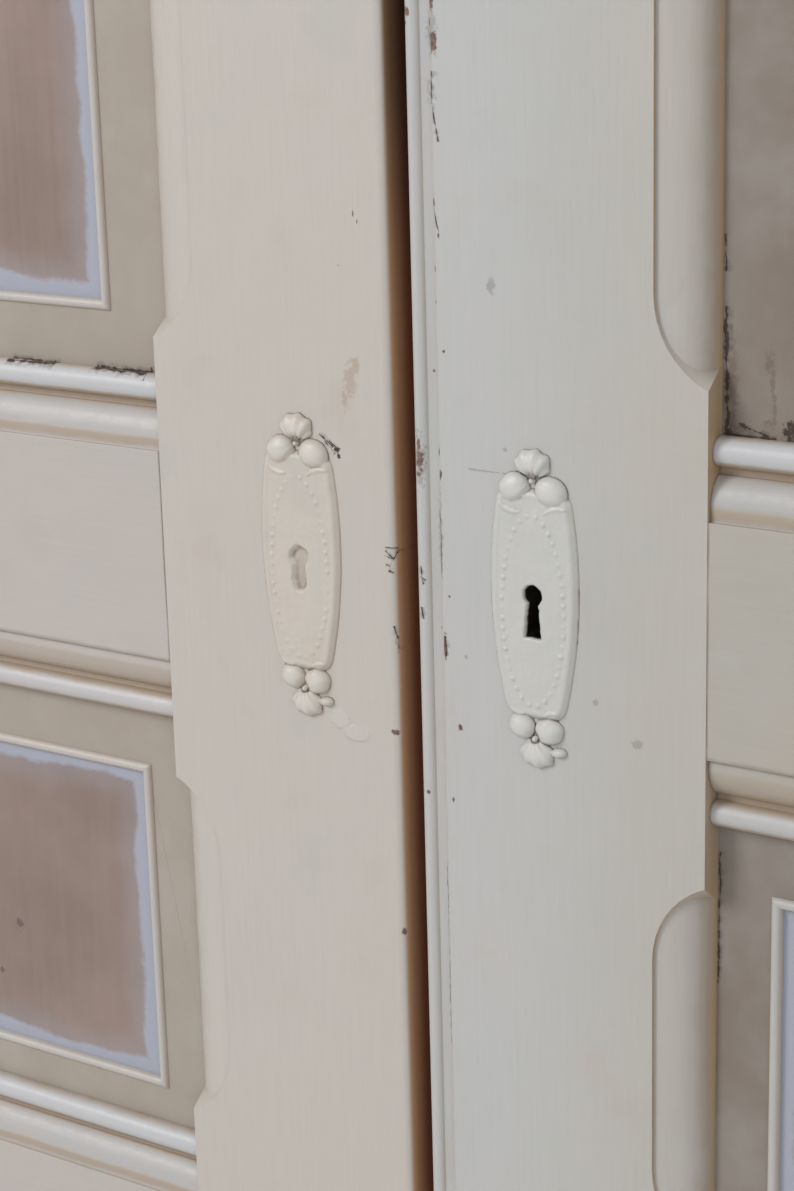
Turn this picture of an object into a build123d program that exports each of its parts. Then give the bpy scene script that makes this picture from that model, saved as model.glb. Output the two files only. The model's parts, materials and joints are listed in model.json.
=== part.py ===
from build123d import *
import math
import os

os.makedirs("parts", exist_ok=True)

# A pair of panelled french doors in a rebated wooden frame.
# X runs along the wall, Y from the front of the doors to their back, Z up.
# The origin is on the floor, in the plane of the doors' front, below the middle of the slit.
# Both leaves are drawn on the +X side and the left one is then mirrored.
# Every size is in millimetres.

# Leaves
leaf_bottom = 26.0
leaf_height = 2100.0
leaf_reach = 603.0
leaf_thickness = 44.0
rebate_depth = 20.0
rebate_gap = 0.5
hinge_stile_width = 105.0

# Meeting edges, measured outwards from the middle of the slit
left_front_edge = 3.0
left_tongue_reach = 2.8
left_stile_width = 121.2
left_arris_radius = 5.0
tongue_bevel = 1.5
right_front_edge = 5.3
right_rear_edge = 11.8
right_stile_width = 132.0
edge_bead_width = 7.0
edge_bead_setback = 0.5
edge_bead_side = 4.2
edge_bead_foot = 2.4
edge_valley_width = 4.2
edge_valley_slope = 2.5

# Rails, by the height of their flat fields
key_height = 1020.0
lock_rail_above = 45.0
lock_rail_below = 49.5
lower_rail_drop = 316.0
lower_rail_height = 94.0
top_rail_height = 115.0
bottom_rail_height = 150.0

# Rail mouldings, outwards from the field: a sunk line, an ovolo, a quirk and a torus
line_depth = 2.2
ovolo_width = 15.0
ovolo_back = 8.2
quirk_width = 3.0
quirk_back = 9.8
torus_front = 3.5
upper_line = 2.0
upper_torus = 11.5
lower_line = 0.5
lower_torus = 10.0

# Stopped ovolo on the stiles' inner edges
relief_width = 23.0
relief_flat = 1.5
relief_quirk = 1.6
relief_depth = 10.9
relief_drop = 35.0
relief_ramp = 8.5
relief_start_above = 18.5
relief_start_below = 25.0

# Joints of the wood
tenon_length = 35.0
tenon_shoulder = 14.0
tenon_end_gap = 0.2
groove_depth = 10.0
panel_front = 11.5
panel_thickness = 14.0
panel_side_gap = 0.8

# Panes and glazing beads: margins from the opening to the bead's outer edge
upper_margin_side = 32.0
upper_margin_low = 25.5
upper_margin_high = 25.5
lower_margin_side = 23.5
lower_margin_low = 17.5
lower_margin_high = 27.0
bead_width = 4.5
bead_proud = 2.0
bead_on_board = 2.5
back_bead_width = 8.0
back_bead_inset = 1.0
pane_front = 13.0
pane_thickness = 4.0
pane_edge_gap = 0.5

# Frame
frame_gap = 3.0
frame_thickness = 45.0
frame_depth = 120.0
stop_gap = 2.0
stop_overlap = 12.0
threshold_gap = 4.0
threshold_overlap = 8.0
frame_tenon_front = 20.0
frame_tenon_back = 90.0
frame_tenon_inset = 10.0
threshold_nosing = 12.0
threshold_tenon = 20.0
threshold_tenon_inset = 4.0
fixing_radius = 4.0
fixing_end_distance = 164.5
fixing_count = 4

# Butt hinges
hinge_height = 100.0
hinge_end_distance = 220.0
hinge_leaf_width = 32.0
hinge_leaf_thickness = 2.5
hinge_axis_front = 6.0
knuckle_radius = 5.5
knuckle_count = 5
knuckle_gap = 0.3
knuckle_room = 0.4
pin_radius = 2.5
pin_head_radius = 4.5
pin_head_height = 3.0
running_gap = 0.05
hinge_screw_columns = (9.6, 23.0)
hinge_screw_count = 4

# Screws
screw_head = 4.0
screw_shank = 1.9
screw_length = 25.0
short_screw_length = 5.0
screw_room = 0.1
screw_margin = 5.0
screw_slot = 0.9
screw_slot_depth = 0.8

# Lock in the right leaf
lock_plate_thickness = 3.0
lock_plate_width = 20.0
lock_plate_below = 60.0
lock_plate_above = 80.0
lock_screw_inset = 8.0
lock_case_back = 98.0
lock_case_front_face = 25.5
lock_case_thickness = 13.0
lock_case_wall = 1.5
lock_case_below = 36.0
lock_case_above = 50.0
lock_case_room = 0.3
bolt_thickness = 8.0
bolt_low = 16.0
bolt_high = 40.0
bolt_head_length = 28.0
bolt_tail_low = 22.0
bolt_tail_high = 38.0
bolt_tail_thickness = 6.0
bolt_tail_end = 92.0
bolt_throw = 20.0
bolt_room = 0.3
bolt_stud_place = 60.0
bolt_stud_radius = 2.5
talon_width = 14.0
talon_depth = 3.0
spring_thickness = 0.8
spring_width = 5.0
spring_front = 50.0
spring_rise = 4.0
strike_thickness = 2.0
strike_pocket = 3.0

# Keyholes and their plates
right_key_place = 62.0
left_key_place = 50.7
left_plate_rise = 3.5
key_head_radius = 4.3
key_hole_height = 22.0
key_neck = 1.9
key_foot = 4.0
key_room = 0.6
blind_key_depth = 0.8
plate_thickness = 2.0
plate_half_middle = 19.0
plate_half_top = 15.5
plate_half_bottom = 12.0
plate_body_above = 45.0
plate_body_below = 44.0
plate_bead_inset = 4.7
plate_bead_pitch = 4.5
plate_bead_radius = 1.1
plate_bead_height = 0.8
plate_bead_sides = 6
petal_facets = 20
petal_shoulder = 0.45
petal_crown = 0.55
plate_pin_radius = 0.8
plate_pin_head = 1.6
plate_pin_dome = 0.6
plate_pin_length = 14.0
back_plate_width = 34.0
back_plate_height = 72.0
back_plate_thickness = 1.5
back_plate_corner = 15.0

# Surface bolts on the left leaf's back
rod_place = 45.0
rod_radius = 5.0
rod_stand = 8.0
rod_travel = 22.0
rod_end_gap = 6.0
rod_length = 238.0
rod_plate_width = 32.0
rod_plate_length = 180.0
rod_plate_thickness = 2.5
rod_plate_distance = 48.0
rod_plate_screw_inset = 22.4
guide_width = 18.0
guide_height = 14.0
guide_wall = 2.5
knob_radius = 5.0
knob_neck_radius = 3.0
knob_length = 16.0
keep_thickness = 2.0
keep_depth = 36.0
keep_screw_margin = 7.0
keep_room = 0.6

# Levels and places that follow
leaf_top = leaf_bottom + leaf_height
stop_front = leaf_thickness + stop_gap
jamb_face = leaf_reach + frame_gap
head_face = leaf_top + frame_gap
stop_inner = leaf_reach - stop_overlap
head_stop_low = leaf_top - stop_overlap
threshold_top = leaf_bottom - threshold_gap
threshold_stop_top = leaf_bottom + threshold_overlap
frame_outer = jamb_face + frame_thickness
frame_top = head_face + frame_thickness
panel_back = panel_front + panel_thickness
hinge_inner = leaf_reach - hinge_stile_width
hinge_axis = leaf_reach + frame_gap / 2
hinge_levels = (
    leaf_bottom + hinge_end_distance,
    leaf_bottom + leaf_height / 2,
    leaf_top - hinge_end_distance,
)
upper_moulding = upper_line + ovolo_width + quirk_width + upper_torus
lower_moulding = lower_line + ovolo_width + quirk_width + lower_torus
beyond = 1.0


# Shapes that repeat
def block(across, deep, tall):
    """A rectangular block between three pairs of limits."""
    spans = (across, deep, tall)
    size = [abs(pair[1] - pair[0]) for pair in spans]
    middle = [(pair[0] + pair[1]) / 2 for pair in spans]
    return Pos(*middle) * Box(*size)


def outline(start, *moves):
    """A flat face. A move is a point, a (via, end) pair for an arc, or an edge."""
    edges = []
    here = start
    for move in moves:
        if isinstance(move, Edge):
            edges.append(move)
            end = move @ 1
            here = (end.X, end.Y)
        elif isinstance(move[0], tuple):
            edges.append(ThreePointArc(here, move[0], move[1]))
            here = move[1]
        else:
            edges.append(Line(here, move))
            here = move
    edges.append(Line(here, start))
    return make_face(edges)


def upright(face, low, high):
    """A face drawn in X and Y, carried up from one level to another."""
    return Pos(0, 0, low) * extrude(face, amount=high - low)


def lengthwise(face, start, end):
    """A face drawn in Y and Z, carried along X."""
    return Pos(start, 0, 0) * extrude(Plane.YZ * face, amount=end - start)


def through(face, front, back, lean=0.0):
    """A face drawn in X and Z, carried back along Y, leaning by so much in Z on the way."""
    way = Vector(0, back - front, lean)
    return Pos(0, front, 0) * extrude(Plane.XZ * face, amount=way.length, dir=way)


def rod(radius, start, end):
    """A round bar between two points."""
    line = Vector(*end) - Vector(*start)
    place = Plane(origin=start, z_dir=line)
    return place.location * Cylinder(radius, line.length, align=(Align.CENTER, Align.CENTER, Align.MIN))


def screw(point, outward, length, grow=0.0):
    """A slotted countersunk screw with its head flush at a point. Grown, it is its own hole."""
    sink = screw_head - screw_shank
    bottom = (Align.CENTER, Align.CENTER, Align.MAX)
    head = Cone(screw_shank + grow, screw_head + grow, sink, align=bottom)
    shank = Cylinder(screw_shank + grow, length + grow, align=bottom)
    body = head + shank
    if grow == 0:
        body -= Box(3 * screw_head, screw_slot, 2 * screw_slot_depth)
    return Plane(origin=point, z_dir=outward).location * body


def cut_screws(part, seats):
    """Cuts the holes of the screws that pass through or into a part."""
    for point, outward, length in seats:
        part -= screw(point, outward, length, screw_room)
    return part


def mirrored(part):
    """The same part on the other side of the slit."""
    return mirror(part, about=Plane.YZ)


def save(name, part, left=False):
    """Writes one node. A list of solids stays a group of separate solids."""
    solids = part if isinstance(part, list) else [part]
    if left:
        solids = [mirrored(solid) for solid in solids]
    loose = [solid for shape in solids for solid in shape.solids()]
    whole = loose[0] if len(loose) == 1 else Compound(loose)
    export_step(whole, "parts/" + name + ".step")


# Rails
class Rail:
    """A rail by its flat field and the mouldings under and over it."""

    def __init__(self, name, low, high, below, above):
        self.name = name
        self.low = low
        self.high = high
        self.below = below
        self.above = above
        self.bottom = low - (lower_moulding if below else 0)
        self.top = high + (upper_moulding if above else 0)

    def tenon(self, inner, outer, gap=0.0):
        """The tenons at both ends, or with a gap the room for them."""
        span = (inner - tenon_length - gap, outer + tenon_length + gap)
        low = self.bottom + tenon_shoulder
        high = self.top - tenon_shoulder
        return block(span, (panel_front, panel_back), (low, high))


def moulding(line, torus, inner, outer):
    """The moulded edge of a rail with its panel groove, from level 0 upwards."""
    ovolo_end = line + ovolo_width
    quirk_end = ovolo_end + quirk_width
    total = quirk_end + torus
    bend = math.sqrt(0.5)
    ovolo_drop = ovolo_back - line_depth
    ovolo_via = (line_depth + ovolo_drop * (1 - bend), line + ovolo_width * bend)
    torus_via = (torus_front, quirk_end + torus / 2)
    face = outline(
        (line_depth, 0),
        (line_depth, line),
        (ovolo_via, (ovolo_back, ovolo_end)),
        (quirk_back, ovolo_end),
        (quirk_back, quirk_end),
        (torus_via, (panel_front, total)),
        (panel_front, total - groove_depth),
        (panel_back, total - groove_depth),
        (panel_back, total),
        (leaf_thickness, total),
        (leaf_thickness, 0),
    )
    return lengthwise(face, inner, outer)


def build_rail(rail, inner, outer):
    part = block((inner, outer), (0, leaf_thickness), (rail.low, rail.high))
    if rail.above:
        part += Pos(0, 0, rail.high) * moulding(upper_line, upper_torus, inner, outer)
    if rail.below:
        strip = mirror(moulding(lower_line, lower_torus, inner, outer), about=Plane.XY)
        part += Pos(0, 0, rail.low) * strip
    return part + rail.tenon(inner, outer)


lock_rail_low = key_height - lock_rail_below
lower_rail_high = key_height - lower_rail_drop
rails = (
    Rail("top_rail", leaf_top - top_rail_height, leaf_top, True, False),
    Rail("lock_rail", lock_rail_low, key_height + lock_rail_above, True, True),
    Rail("lower_rail", lower_rail_high - lower_rail_height, lower_rail_high, True, True),
    Rail("bottom_rail", leaf_bottom, leaf_bottom + bottom_rail_height, False, True),
)


class Opening:
    """The space for one panel between two rails, with the margins round its pane."""

    def __init__(self, name, over, under, side, low_margin, high_margin):
        self.name = name
        self.low = under.top
        self.high = over.bottom
        self.side = side
        self.low_margin = low_margin
        self.high_margin = high_margin


lower_margins = (lower_margin_side, lower_margin_low, lower_margin_high)
openings = (
    Opening("upper", rails[0], rails[1], upper_margin_side, upper_margin_low, upper_margin_high),
    Opening("middle", rails[1], rails[2], *lower_margins),
    Opening("bottom", rails[2], rails[3], *lower_margins),
)


# Stiles
def relief_cutter(low, high):
    """The wood that a stopped ovolo takes from an edge at X = 0, with the wood on the -X side."""
    round_width = relief_width - relief_flat
    quarter = EllipticalCenterArc(
        (-round_width, relief_depth),
        round_width,
        relief_depth - relief_quirk,
        start_angle=-90,
        arc_size=90,
    )
    section = outline(
        (-relief_width, -beyond),
        (-relief_width, relief_quirk),
        (-round_width, relief_quirk),
        quarter,
        (beyond, relief_depth),
        (beyond, -beyond),
    )
    radius = (relief_width**2 + relief_drop**2) / (2 * relief_width)
    turn = math.asin(relief_drop / radius) / 2
    via_in = relief_width - radius * (1 - math.cos(turn))
    via_rise = relief_drop - radius * math.sin(turn)
    side = -relief_width - beyond
    lower_turn = ((-via_in, low + via_rise), (-relief_width, low + relief_drop))
    upper_turn = ((-via_in, high - via_rise), (0, high))
    shape = outline(
        (2 * beyond, low),
        (0, low),
        lower_turn,
        (side, low + relief_drop),
        (side, high - relief_drop),
        (-relief_width, high - relief_drop),
        upper_turn,
        (2 * beyond, high),
    )
    slope = relief_ramp / relief_depth
    back = relief_depth + beyond
    lean = slope * (back + beyond)
    rising = Pos(0, 0, -slope * beyond) * through(shape, -beyond, back, lean)
    falling = Pos(0, 0, slope * beyond) * through(shape, -beyond, back, -lean)
    return upright(section, low - beyond, high + beyond) & rising & falling


def dress_stile(part, inner, outer, edge, wood_outside):
    """Cuts the reliefs, panel grooves and mortises of one stile along its inner edge."""
    groove_end = edge + (groove_depth if wood_outside else -groove_depth)
    for opening in openings:
        low = opening.low + relief_start_above
        high = opening.high - relief_start_below
        cutter = relief_cutter(low, high)
        if wood_outside:
            cutter = mirrored(cutter)
        part -= Pos(edge, 0, 0) * cutter
        span = (opening.low - groove_depth, opening.high + groove_depth)
        part -= block((edge, groove_end), (panel_front, panel_back), span)
    for rail in rails:
        part -= rail.tenon(inner, outer, tenon_end_gap)
    return part


def left_meeting_outline(inner):
    turn = left_arris_radius * (1 - math.sqrt(0.5))
    front = left_front_edge
    rear = -left_tongue_reach
    return outline(
        (front, rebate_depth),
        (front, left_arris_radius),
        ((front + turn, turn), (front + left_arris_radius, 0)),
        (inner, 0),
        (inner, leaf_thickness),
        (rear + tongue_bevel, leaf_thickness),
        (rear, leaf_thickness - tongue_bevel),
        (rear, rebate_depth),
    )


def right_meeting_outline(inner):
    front = right_front_edge
    bead_end = front + edge_bead_width
    bead_crown = (front + edge_bead_width / 2, edge_bead_setback)
    valley_end = bead_end + edge_valley_width
    lip_back = rebate_depth - rebate_gap
    return outline(
        (front, lip_back),
        (front, edge_bead_side),
        (bead_crown, (bead_end, edge_bead_foot)),
        (valley_end, edge_bead_foot),
        (valley_end + edge_valley_slope, 0),
        (inner, 0),
        (inner, leaf_thickness),
        (right_rear_edge, leaf_thickness),
        (right_rear_edge, lip_back),
    )


# Panels and panes
def bead_ring(section, centre, width, height):
    """Four mitred strips round a rectangle. The section is drawn in Y and distance inwards."""
    reach = 4 * bead_width + back_bead_width
    strips = []
    for turn in range(4):
        long = width if turn % 2 == 0 else height
        far = height if turn % 2 == 0 else width
        strip = Pos(0, 0, -far / 2) * lengthwise(section, -long / 2, long / 2)
        mitre = outline(
            (-long / 2, -far / 2),
            (long / 2, -far / 2),
            (long / 2 - reach, reach - far / 2),
            (reach - long / 2, reach - far / 2),
        )
        strip &= through(mitre, 0, leaf_thickness)
        strips.append(Pos(centre[0], 0, centre[1]) * Rot(0, 90 * turn, 0) * strip)
    return strips


def build_panel(opening, inner, outer):
    """One panel board, its pane, and the beads in front of and behind the pane."""
    edge_in = groove_depth - panel_side_gap
    span = (inner - edge_in, outer + edge_in)
    tall = (opening.low - edge_in, opening.high + edge_in)
    board = block(span, (panel_front, panel_back), tall)
    low = opening.low + opening.low_margin
    high = opening.high - opening.high_margin
    width = outer - inner - 2 * opening.side
    height = high - low
    centre = ((inner + outer) / 2, (low + high) / 2)

    def centred(inset, deep):
        across = width / 2 - inset
        up = height / 2 - inset
        return Pos(centre[0], 0, centre[1]) * block((-across, across), deep, (-up, up))

    pane_back = pane_front + pane_thickness
    board -= centred(bead_on_board, (panel_front - beyond, panel_back + beyond))
    pane = centred(bead_on_board + pane_edge_gap, (pane_front, pane_back))
    front_section = outline(
        (panel_front, 0),
        ((panel_front - bead_proud, bead_width / 2), (panel_front, bead_width)),
        (pane_front, bead_width),
        (pane_front, bead_on_board),
        (panel_front, bead_on_board),
    )
    back_end = bead_on_board + back_bead_width
    back_section = outline(
        (pane_back, bead_on_board),
        (pane_back, back_end),
        (pane_back + back_bead_inset, back_end),
        (panel_back - back_bead_inset, bead_on_board + back_bead_width / 2),
        (panel_back - back_bead_inset, bead_on_board),
    )
    front_beads = bead_ring(front_section, centre, width, height)
    back_beads = bead_ring(back_section, centre, width, height)
    return board, pane, front_beads, back_beads


# Keyholes and plates
def keyhole(place, level, front, back, grow=0.0):
    """The space of a keyhole: a round head over a slot that widens downwards."""
    half = key_hole_height / 2
    head_level = half - key_head_radius
    head = Circle(key_head_radius + grow)
    foot = -half - grow
    slot = Polygon(
        (-key_neck - grow, head_level),
        (-key_foot - grow, foot),
        (key_foot + grow, foot),
        (key_neck + grow, head_level),
        align=None,
    )
    shape = Pos(0, head_level) * head + slot
    return Pos(place, 0, level) * through(shape, front, back)


def petal(place, level, wide, tall, proud):
    """One lobe of a flower: a faceted oval with upright sides under a narrower crown."""
    corners = []
    for index in range(petal_facets):
        turn = 2 * math.pi * index / petal_facets
        corners.append((wide / 2 * math.cos(turn), tall / 2 * math.sin(turn)))
    oval = Polygon(*corners, align=None)
    shoulder = petal_shoulder * proud
    lobe = through(oval, -shoulder, 0)
    crown_foot = Pos(0, -shoulder, 0) * (Plane.XZ * oval)
    crown_top = Pos(0, -proud, 0) * (Plane.XZ * scale(oval, by=petal_crown))
    lobe += loft([crown_foot, crown_top], ruled=True)
    return Pos(place, 0, level) * lobe


# Flowers: places across and up, width, height and how far each lobe stands out
top_petals = (
    (0.0, 60.5, 16.0, 10.0, 3.6),
    (-7.6, 51.5, 16.0, 12.0, 3.8),
    (7.6, 51.3, 16.0, 12.0, 3.8),
)
bottom_petals = (
    (-5.6, -50.0, 12.0, 11.0, 3.4),
    (5.8, -50.4, 12.6, 11.4, 3.4),
    (0.0, -59.5, 16.0, 12.0, 3.6),
    (10.0, -57.0, 6.5, 5.0, 2.6),
)
top_pin_level = 55.0
bottom_pin_level = -54.0
flower_base_radius = 10.5
flower_base_thickness = 1.5


def plate_side(inset):
    """The curved right edge of a keyhole plate, from its bottom to its top."""
    return ThreePointArc(
        (plate_half_bottom - inset, -plate_body_below + inset / 2),
        (plate_half_middle - inset, 0),
        (plate_half_top - inset, plate_body_above - inset / 2),
    )


def build_escutcheon(place, level):
    """A stamped keyhole plate with beaded sides and a flower at each end."""
    top = plate_body_above
    bottom = -plate_body_below
    shape = outline(
        (plate_half_bottom, bottom),
        ((plate_half_middle, 0), (plate_half_top, top)),
        (-plate_half_top, top),
        ((-plate_half_middle, 0), (-plate_half_bottom, bottom)),
    )
    part = through(shape, -plate_thickness, 0)
    for pin_level in (top_pin_level, bottom_pin_level):
        base = Pos(0, pin_level) * Circle(flower_base_radius)
        part += through(base, -flower_base_thickness, 0)
    for petal_size in top_petals + bottom_petals:
        part += petal(*petal_size)
    edge = plate_side(plate_bead_inset)
    count = round(edge.length / plate_bead_pitch)
    bead = through(RegularPolygon(plate_bead_radius, plate_bead_sides), -plate_bead_height, 0)
    for index in range(count + 1):
        point = edge @ (index / count)
        for side in (-1, 1):
            part += Pos(side * point.X, -plate_thickness, point.Y) * bead
    for pin_level in (top_pin_level, bottom_pin_level):
        seat = (0, -flower_base_thickness, pin_level)
        part -= rod(plate_pin_head + screw_room, (0, -plate_pin_length, pin_level), seat)
        part -= rod(plate_pin_radius + screw_room, seat, (0, beyond, pin_level))
    return Pos(place, 0, level) * part


def plate_pins(place, level, grow=0.0):
    """The two round-headed pins of a keyhole plate, sunk in the middles of its flowers."""
    pins = []
    head_face = -flower_base_thickness
    reach = 2 * plate_pin_head
    for pin_level in (top_pin_level, bottom_pin_level):
        z = level + pin_level
        shank = rod(plate_pin_radius + grow, (place, head_face, z), (place, plate_pin_length, z))
        if grow == 0:
            dome = Pos(place, head_face, z) * scale(Sphere(plate_pin_head), by=(1, plate_pin_dome, 1))
            shank += dome - block((place - reach, place + reach), (head_face, reach), (z - reach, z + reach))
        pins.append(shank)
    return pins


# Hinges
def hinge_parts(level):
    """One butt hinge: the leaf on the frame, the leaf on the door, and the pin."""
    low = level - hinge_height / 2
    step = hinge_height / knuckle_count
    axis = (hinge_axis, -hinge_axis_front)
    tall = (low, low + hinge_height)
    deep = (-hinge_axis_front, hinge_leaf_width)
    frame_leaf = block((jamb_face, jamb_face + hinge_leaf_thickness), deep, tall)
    door_leaf = block((leaf_reach - hinge_leaf_thickness, leaf_reach), deep, tall)
    for index in range(knuckle_count):
        start = low + index * step
        room = rod(knuckle_radius + knuckle_room, (*axis, start - knuckle_gap), (*axis, start + step + knuckle_gap))
        barrel_low = start + (knuckle_gap if index else 0)
        barrel_high = start + step - (knuckle_gap if index < knuckle_count - 1 else 0)
        barrel = rod(knuckle_radius, (*axis, barrel_low), (*axis, barrel_high))
        if index % 2 == 0:
            frame_leaf += barrel
            door_leaf -= room
        else:
            door_leaf += barrel
            frame_leaf -= room
    bore = rod(pin_radius + running_gap, (*axis, low - beyond), (*axis, low + hinge_height + beyond))
    frame_leaf = cut_screws(frame_leaf - bore, hinge_screws(level, jamb_face, (-1, 0, 0)))
    door_leaf = cut_screws(door_leaf - bore, hinge_screws(level, leaf_reach, (1, 0, 0)))
    top = low + hinge_height
    pin = rod(pin_radius, (*axis, low), (*axis, top))
    pin += rod(pin_head_radius, (*axis, top), (*axis, top + pin_head_height))
    return frame_leaf, door_leaf, pin


def hinge_screws(level, face, outward):
    """Seats of the screws of one hinge leaf, in two staggered columns."""
    low = level - hinge_height / 2
    pitch = hinge_height / hinge_screw_count
    seats = []
    for index in range(hinge_screw_count):
        deep = hinge_screw_columns[index % len(hinge_screw_columns)]
        seats.append(((face, deep, low + (index + 0.5) * pitch), outward, screw_length))
    return seats


def hinge_recess(face, back, level):
    """The shallow housing of one hinge leaf in the wood."""
    half = hinge_height / 2
    return block((face, back), (-beyond, hinge_leaf_width), (level - half, level + half))


frame_hinge_seats = []
door_hinge_seats = []
for hinge_level in hinge_levels:
    frame_hinge_seats += hinge_screws(hinge_level, jamb_face, (-1, 0, 0))
    door_hinge_seats += hinge_screws(hinge_level, leaf_reach, (1, 0, 0))


# Lock
lock_middle = lock_case_front_face + lock_case_thickness / 2
lock_face = right_rear_edge
lock_back_of_plate = lock_face + lock_plate_thickness
case_back_face = lock_case_front_face + lock_case_thickness
case_low = key_height - lock_case_below
case_high = key_height + lock_case_above
plate_low = key_height - lock_plate_below
plate_high = key_height + lock_plate_above
plate_deep = (lock_middle - lock_plate_width / 2, lock_middle + lock_plate_width / 2)
bolt_middle = key_height + (bolt_tail_low + bolt_tail_high) / 2


def bolt_head_room(across, gap):
    half = bolt_thickness / 2 + gap
    tall = (key_height + bolt_low - gap, key_height + bolt_high + gap)
    return block(across, (lock_middle - half, lock_middle + half), tall)


def build_lock():
    """The lock case, its cover, the forend, the bolt and the bolt's spring."""
    case_span = (lock_back_of_plate, lock_case_back)
    inner_back = case_back_face - lock_case_wall
    tall = (case_low, case_high)
    case = block(case_span, (lock_case_front_face, inner_back), tall)
    wall = lock_case_wall
    case -= block(
        (case_span[0] + wall, case_span[1] - wall),
        (lock_case_front_face + wall, inner_back + beyond),
        (case_low + wall, case_high - wall),
    )
    case -= bolt_head_room((case_span[0] - beyond, case_span[0] + 2 * wall), bolt_room)
    stud_start = (bolt_stud_place, lock_case_front_face + wall / 2, bolt_middle)
    case += rod(bolt_stud_radius, stud_start, (bolt_stud_place, inner_back, bolt_middle))
    case -= keyhole(right_key_place, key_height, 0, leaf_thickness)
    cover = block(case_span, (inner_back, case_back_face), tall)
    cover -= keyhole(right_key_place, key_height, 0, leaf_thickness)
    forend = block((lock_face, lock_back_of_plate), plate_deep, (plate_low, plate_high))
    forend -= bolt_head_room((lock_face - beyond, lock_back_of_plate + beyond), bolt_room)
    forend = cut_screws(forend, forend_seats)

    head_end = lock_face + bolt_head_length
    half_tail = bolt_tail_thickness / 2
    tail_deep = (lock_middle - half_tail, lock_middle + half_tail)
    tail_low = key_height + bolt_tail_low
    tail_high = key_height + bolt_tail_high
    bolt = bolt_head_room((lock_face, head_end), 0)
    bolt += block((head_end, bolt_tail_end), tail_deep, (tail_low, tail_high))
    slot_half = bolt_stud_radius + bolt_room
    slot_span = (bolt_stud_place - slot_half, bolt_stud_place + bolt_throw + slot_half)
    slot_tall = (bolt_middle - slot_half, bolt_middle + slot_half)
    bolt -= block(slot_span, (0, leaf_thickness), slot_tall)
    talon_span = (right_key_place - talon_width / 2, right_key_place + talon_width / 2)
    bolt -= block(talon_span, (0, leaf_thickness), (tail_low - beyond, tail_low + talon_depth))

    roof = case_high - wall - bolt_room
    middle = (spring_front + bolt_tail_end) / 2
    bow = outline(
        (bolt_tail_end, tail_high),
        ((middle, roof), (spring_front, tail_high + spring_rise)),
        (spring_front, tail_high + spring_rise - spring_thickness),
        ((middle, roof - spring_thickness), (bolt_tail_end - 2 * spring_thickness, tail_high)),
    )
    half_spring = spring_width / 2
    spring = through(bow, lock_middle - half_spring, lock_middle + half_spring)
    return case, cover, forend, bolt, spring


def plate_screw_seats(face, outward):
    """Seats of the two screws in the forend or in the strike plate."""
    levels = (plate_low + lock_screw_inset, plate_high - lock_screw_inset)
    return [((face, lock_middle, level), outward, screw_length) for level in levels]


forend_seats = plate_screw_seats(lock_face, (-1, 0, 0))
strike_face = -left_tongue_reach
strike_seats = plate_screw_seats(strike_face, (-1, 0, 0))
back_plate_screw_level = back_plate_height / 2 - lock_screw_inset
back_plate_seats = [
    ((right_key_place, leaf_thickness + back_plate_thickness, key_height + side * back_plate_screw_level),
     (0, 1, 0), short_screw_length)
    for side in (-1, 1)
]


def cut_for_lock(stile):
    """The mortise, the forend's housing and the keyhole through the right meeting stile."""
    room = lock_case_room
    stile -= block(
        (lock_face - beyond, lock_case_back + room),
        (lock_case_front_face - room, case_back_face + room),
        (case_low - room, case_high + room),
    )
    stile -= block((lock_face - beyond, lock_back_of_plate), plate_deep, (plate_low, plate_high))
    stile -= keyhole(right_key_place, key_height, -beyond, leaf_thickness + beyond, key_room)
    return cut_screws(stile, forend_seats + back_plate_seats)


def build_back_plate():
    """The plain plate round the keyhole on the right leaf's back."""
    body = RectangleRounded(back_plate_width, back_plate_height, back_plate_corner)
    front = leaf_thickness
    plate = Pos(right_key_place, 0, key_height) * through(body, front, front + back_plate_thickness)
    plate -= keyhole(right_key_place, key_height, 0, 2 * leaf_thickness)
    return cut_screws(plate, back_plate_seats)


def build_strike():
    span = (strike_face, strike_face + strike_thickness)
    strike = block(span, plate_deep, (plate_low, plate_high))
    strike -= bolt_head_room((span[0] - beyond, span[1] + beyond), 2 * bolt_room)
    return cut_screws(strike, strike_seats)


def cut_for_strike(stile):
    """The strike plate's housing and the pocket that the bolt shoots into."""
    back = strike_face + strike_thickness
    stile -= block((strike_face - beyond, back), plate_deep, (plate_low, plate_high))
    pocket_end = bolt_throw - lock_face + strike_pocket
    stile -= bolt_head_room((strike_face - beyond, pocket_end), 2 * bolt_room)
    return cut_screws(stile, strike_seats)


# Surface bolts, drawn for the top one; the bottom one is the same, turned over
rod_deep = leaf_thickness + rod_plate_thickness + rod_stand


def bolt_plate_seats(low):
    seats = []
    face = leaf_thickness + rod_plate_thickness
    for level in (low + rod_plate_screw_inset, low + rod_plate_length - rod_plate_screw_inset):
        for side in (-1, 1):
            place = rod_place + side * (rod_plate_width / 2 - screw_margin)
            seats.append(((place, face, level), (0, 1, 0), screw_length))
    return seats


def build_bolt_plate(low):
    """The bolt's back plate with its two guides."""
    half = rod_plate_width / 2
    plate_back = leaf_thickness + rod_plate_thickness
    plate = block((rod_place - half, rod_place + half), (leaf_thickness, plate_back), (low, low + rod_plate_length))
    guide_half = guide_width / 2
    guide_deep = (leaf_thickness, rod_deep + rod_radius + guide_wall)
    for start in (low, low + rod_plate_length - guide_height):
        plate += block((rod_place - guide_half, rod_place + guide_half), guide_deep, (start, start + guide_height))
    centre = (rod_place, rod_deep)
    bore = rod(rod_radius + running_gap, (*centre, low - beyond), (*centre, low + rod_plate_length + beyond))
    return cut_screws(plate - bore, bolt_plate_seats(low))


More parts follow.
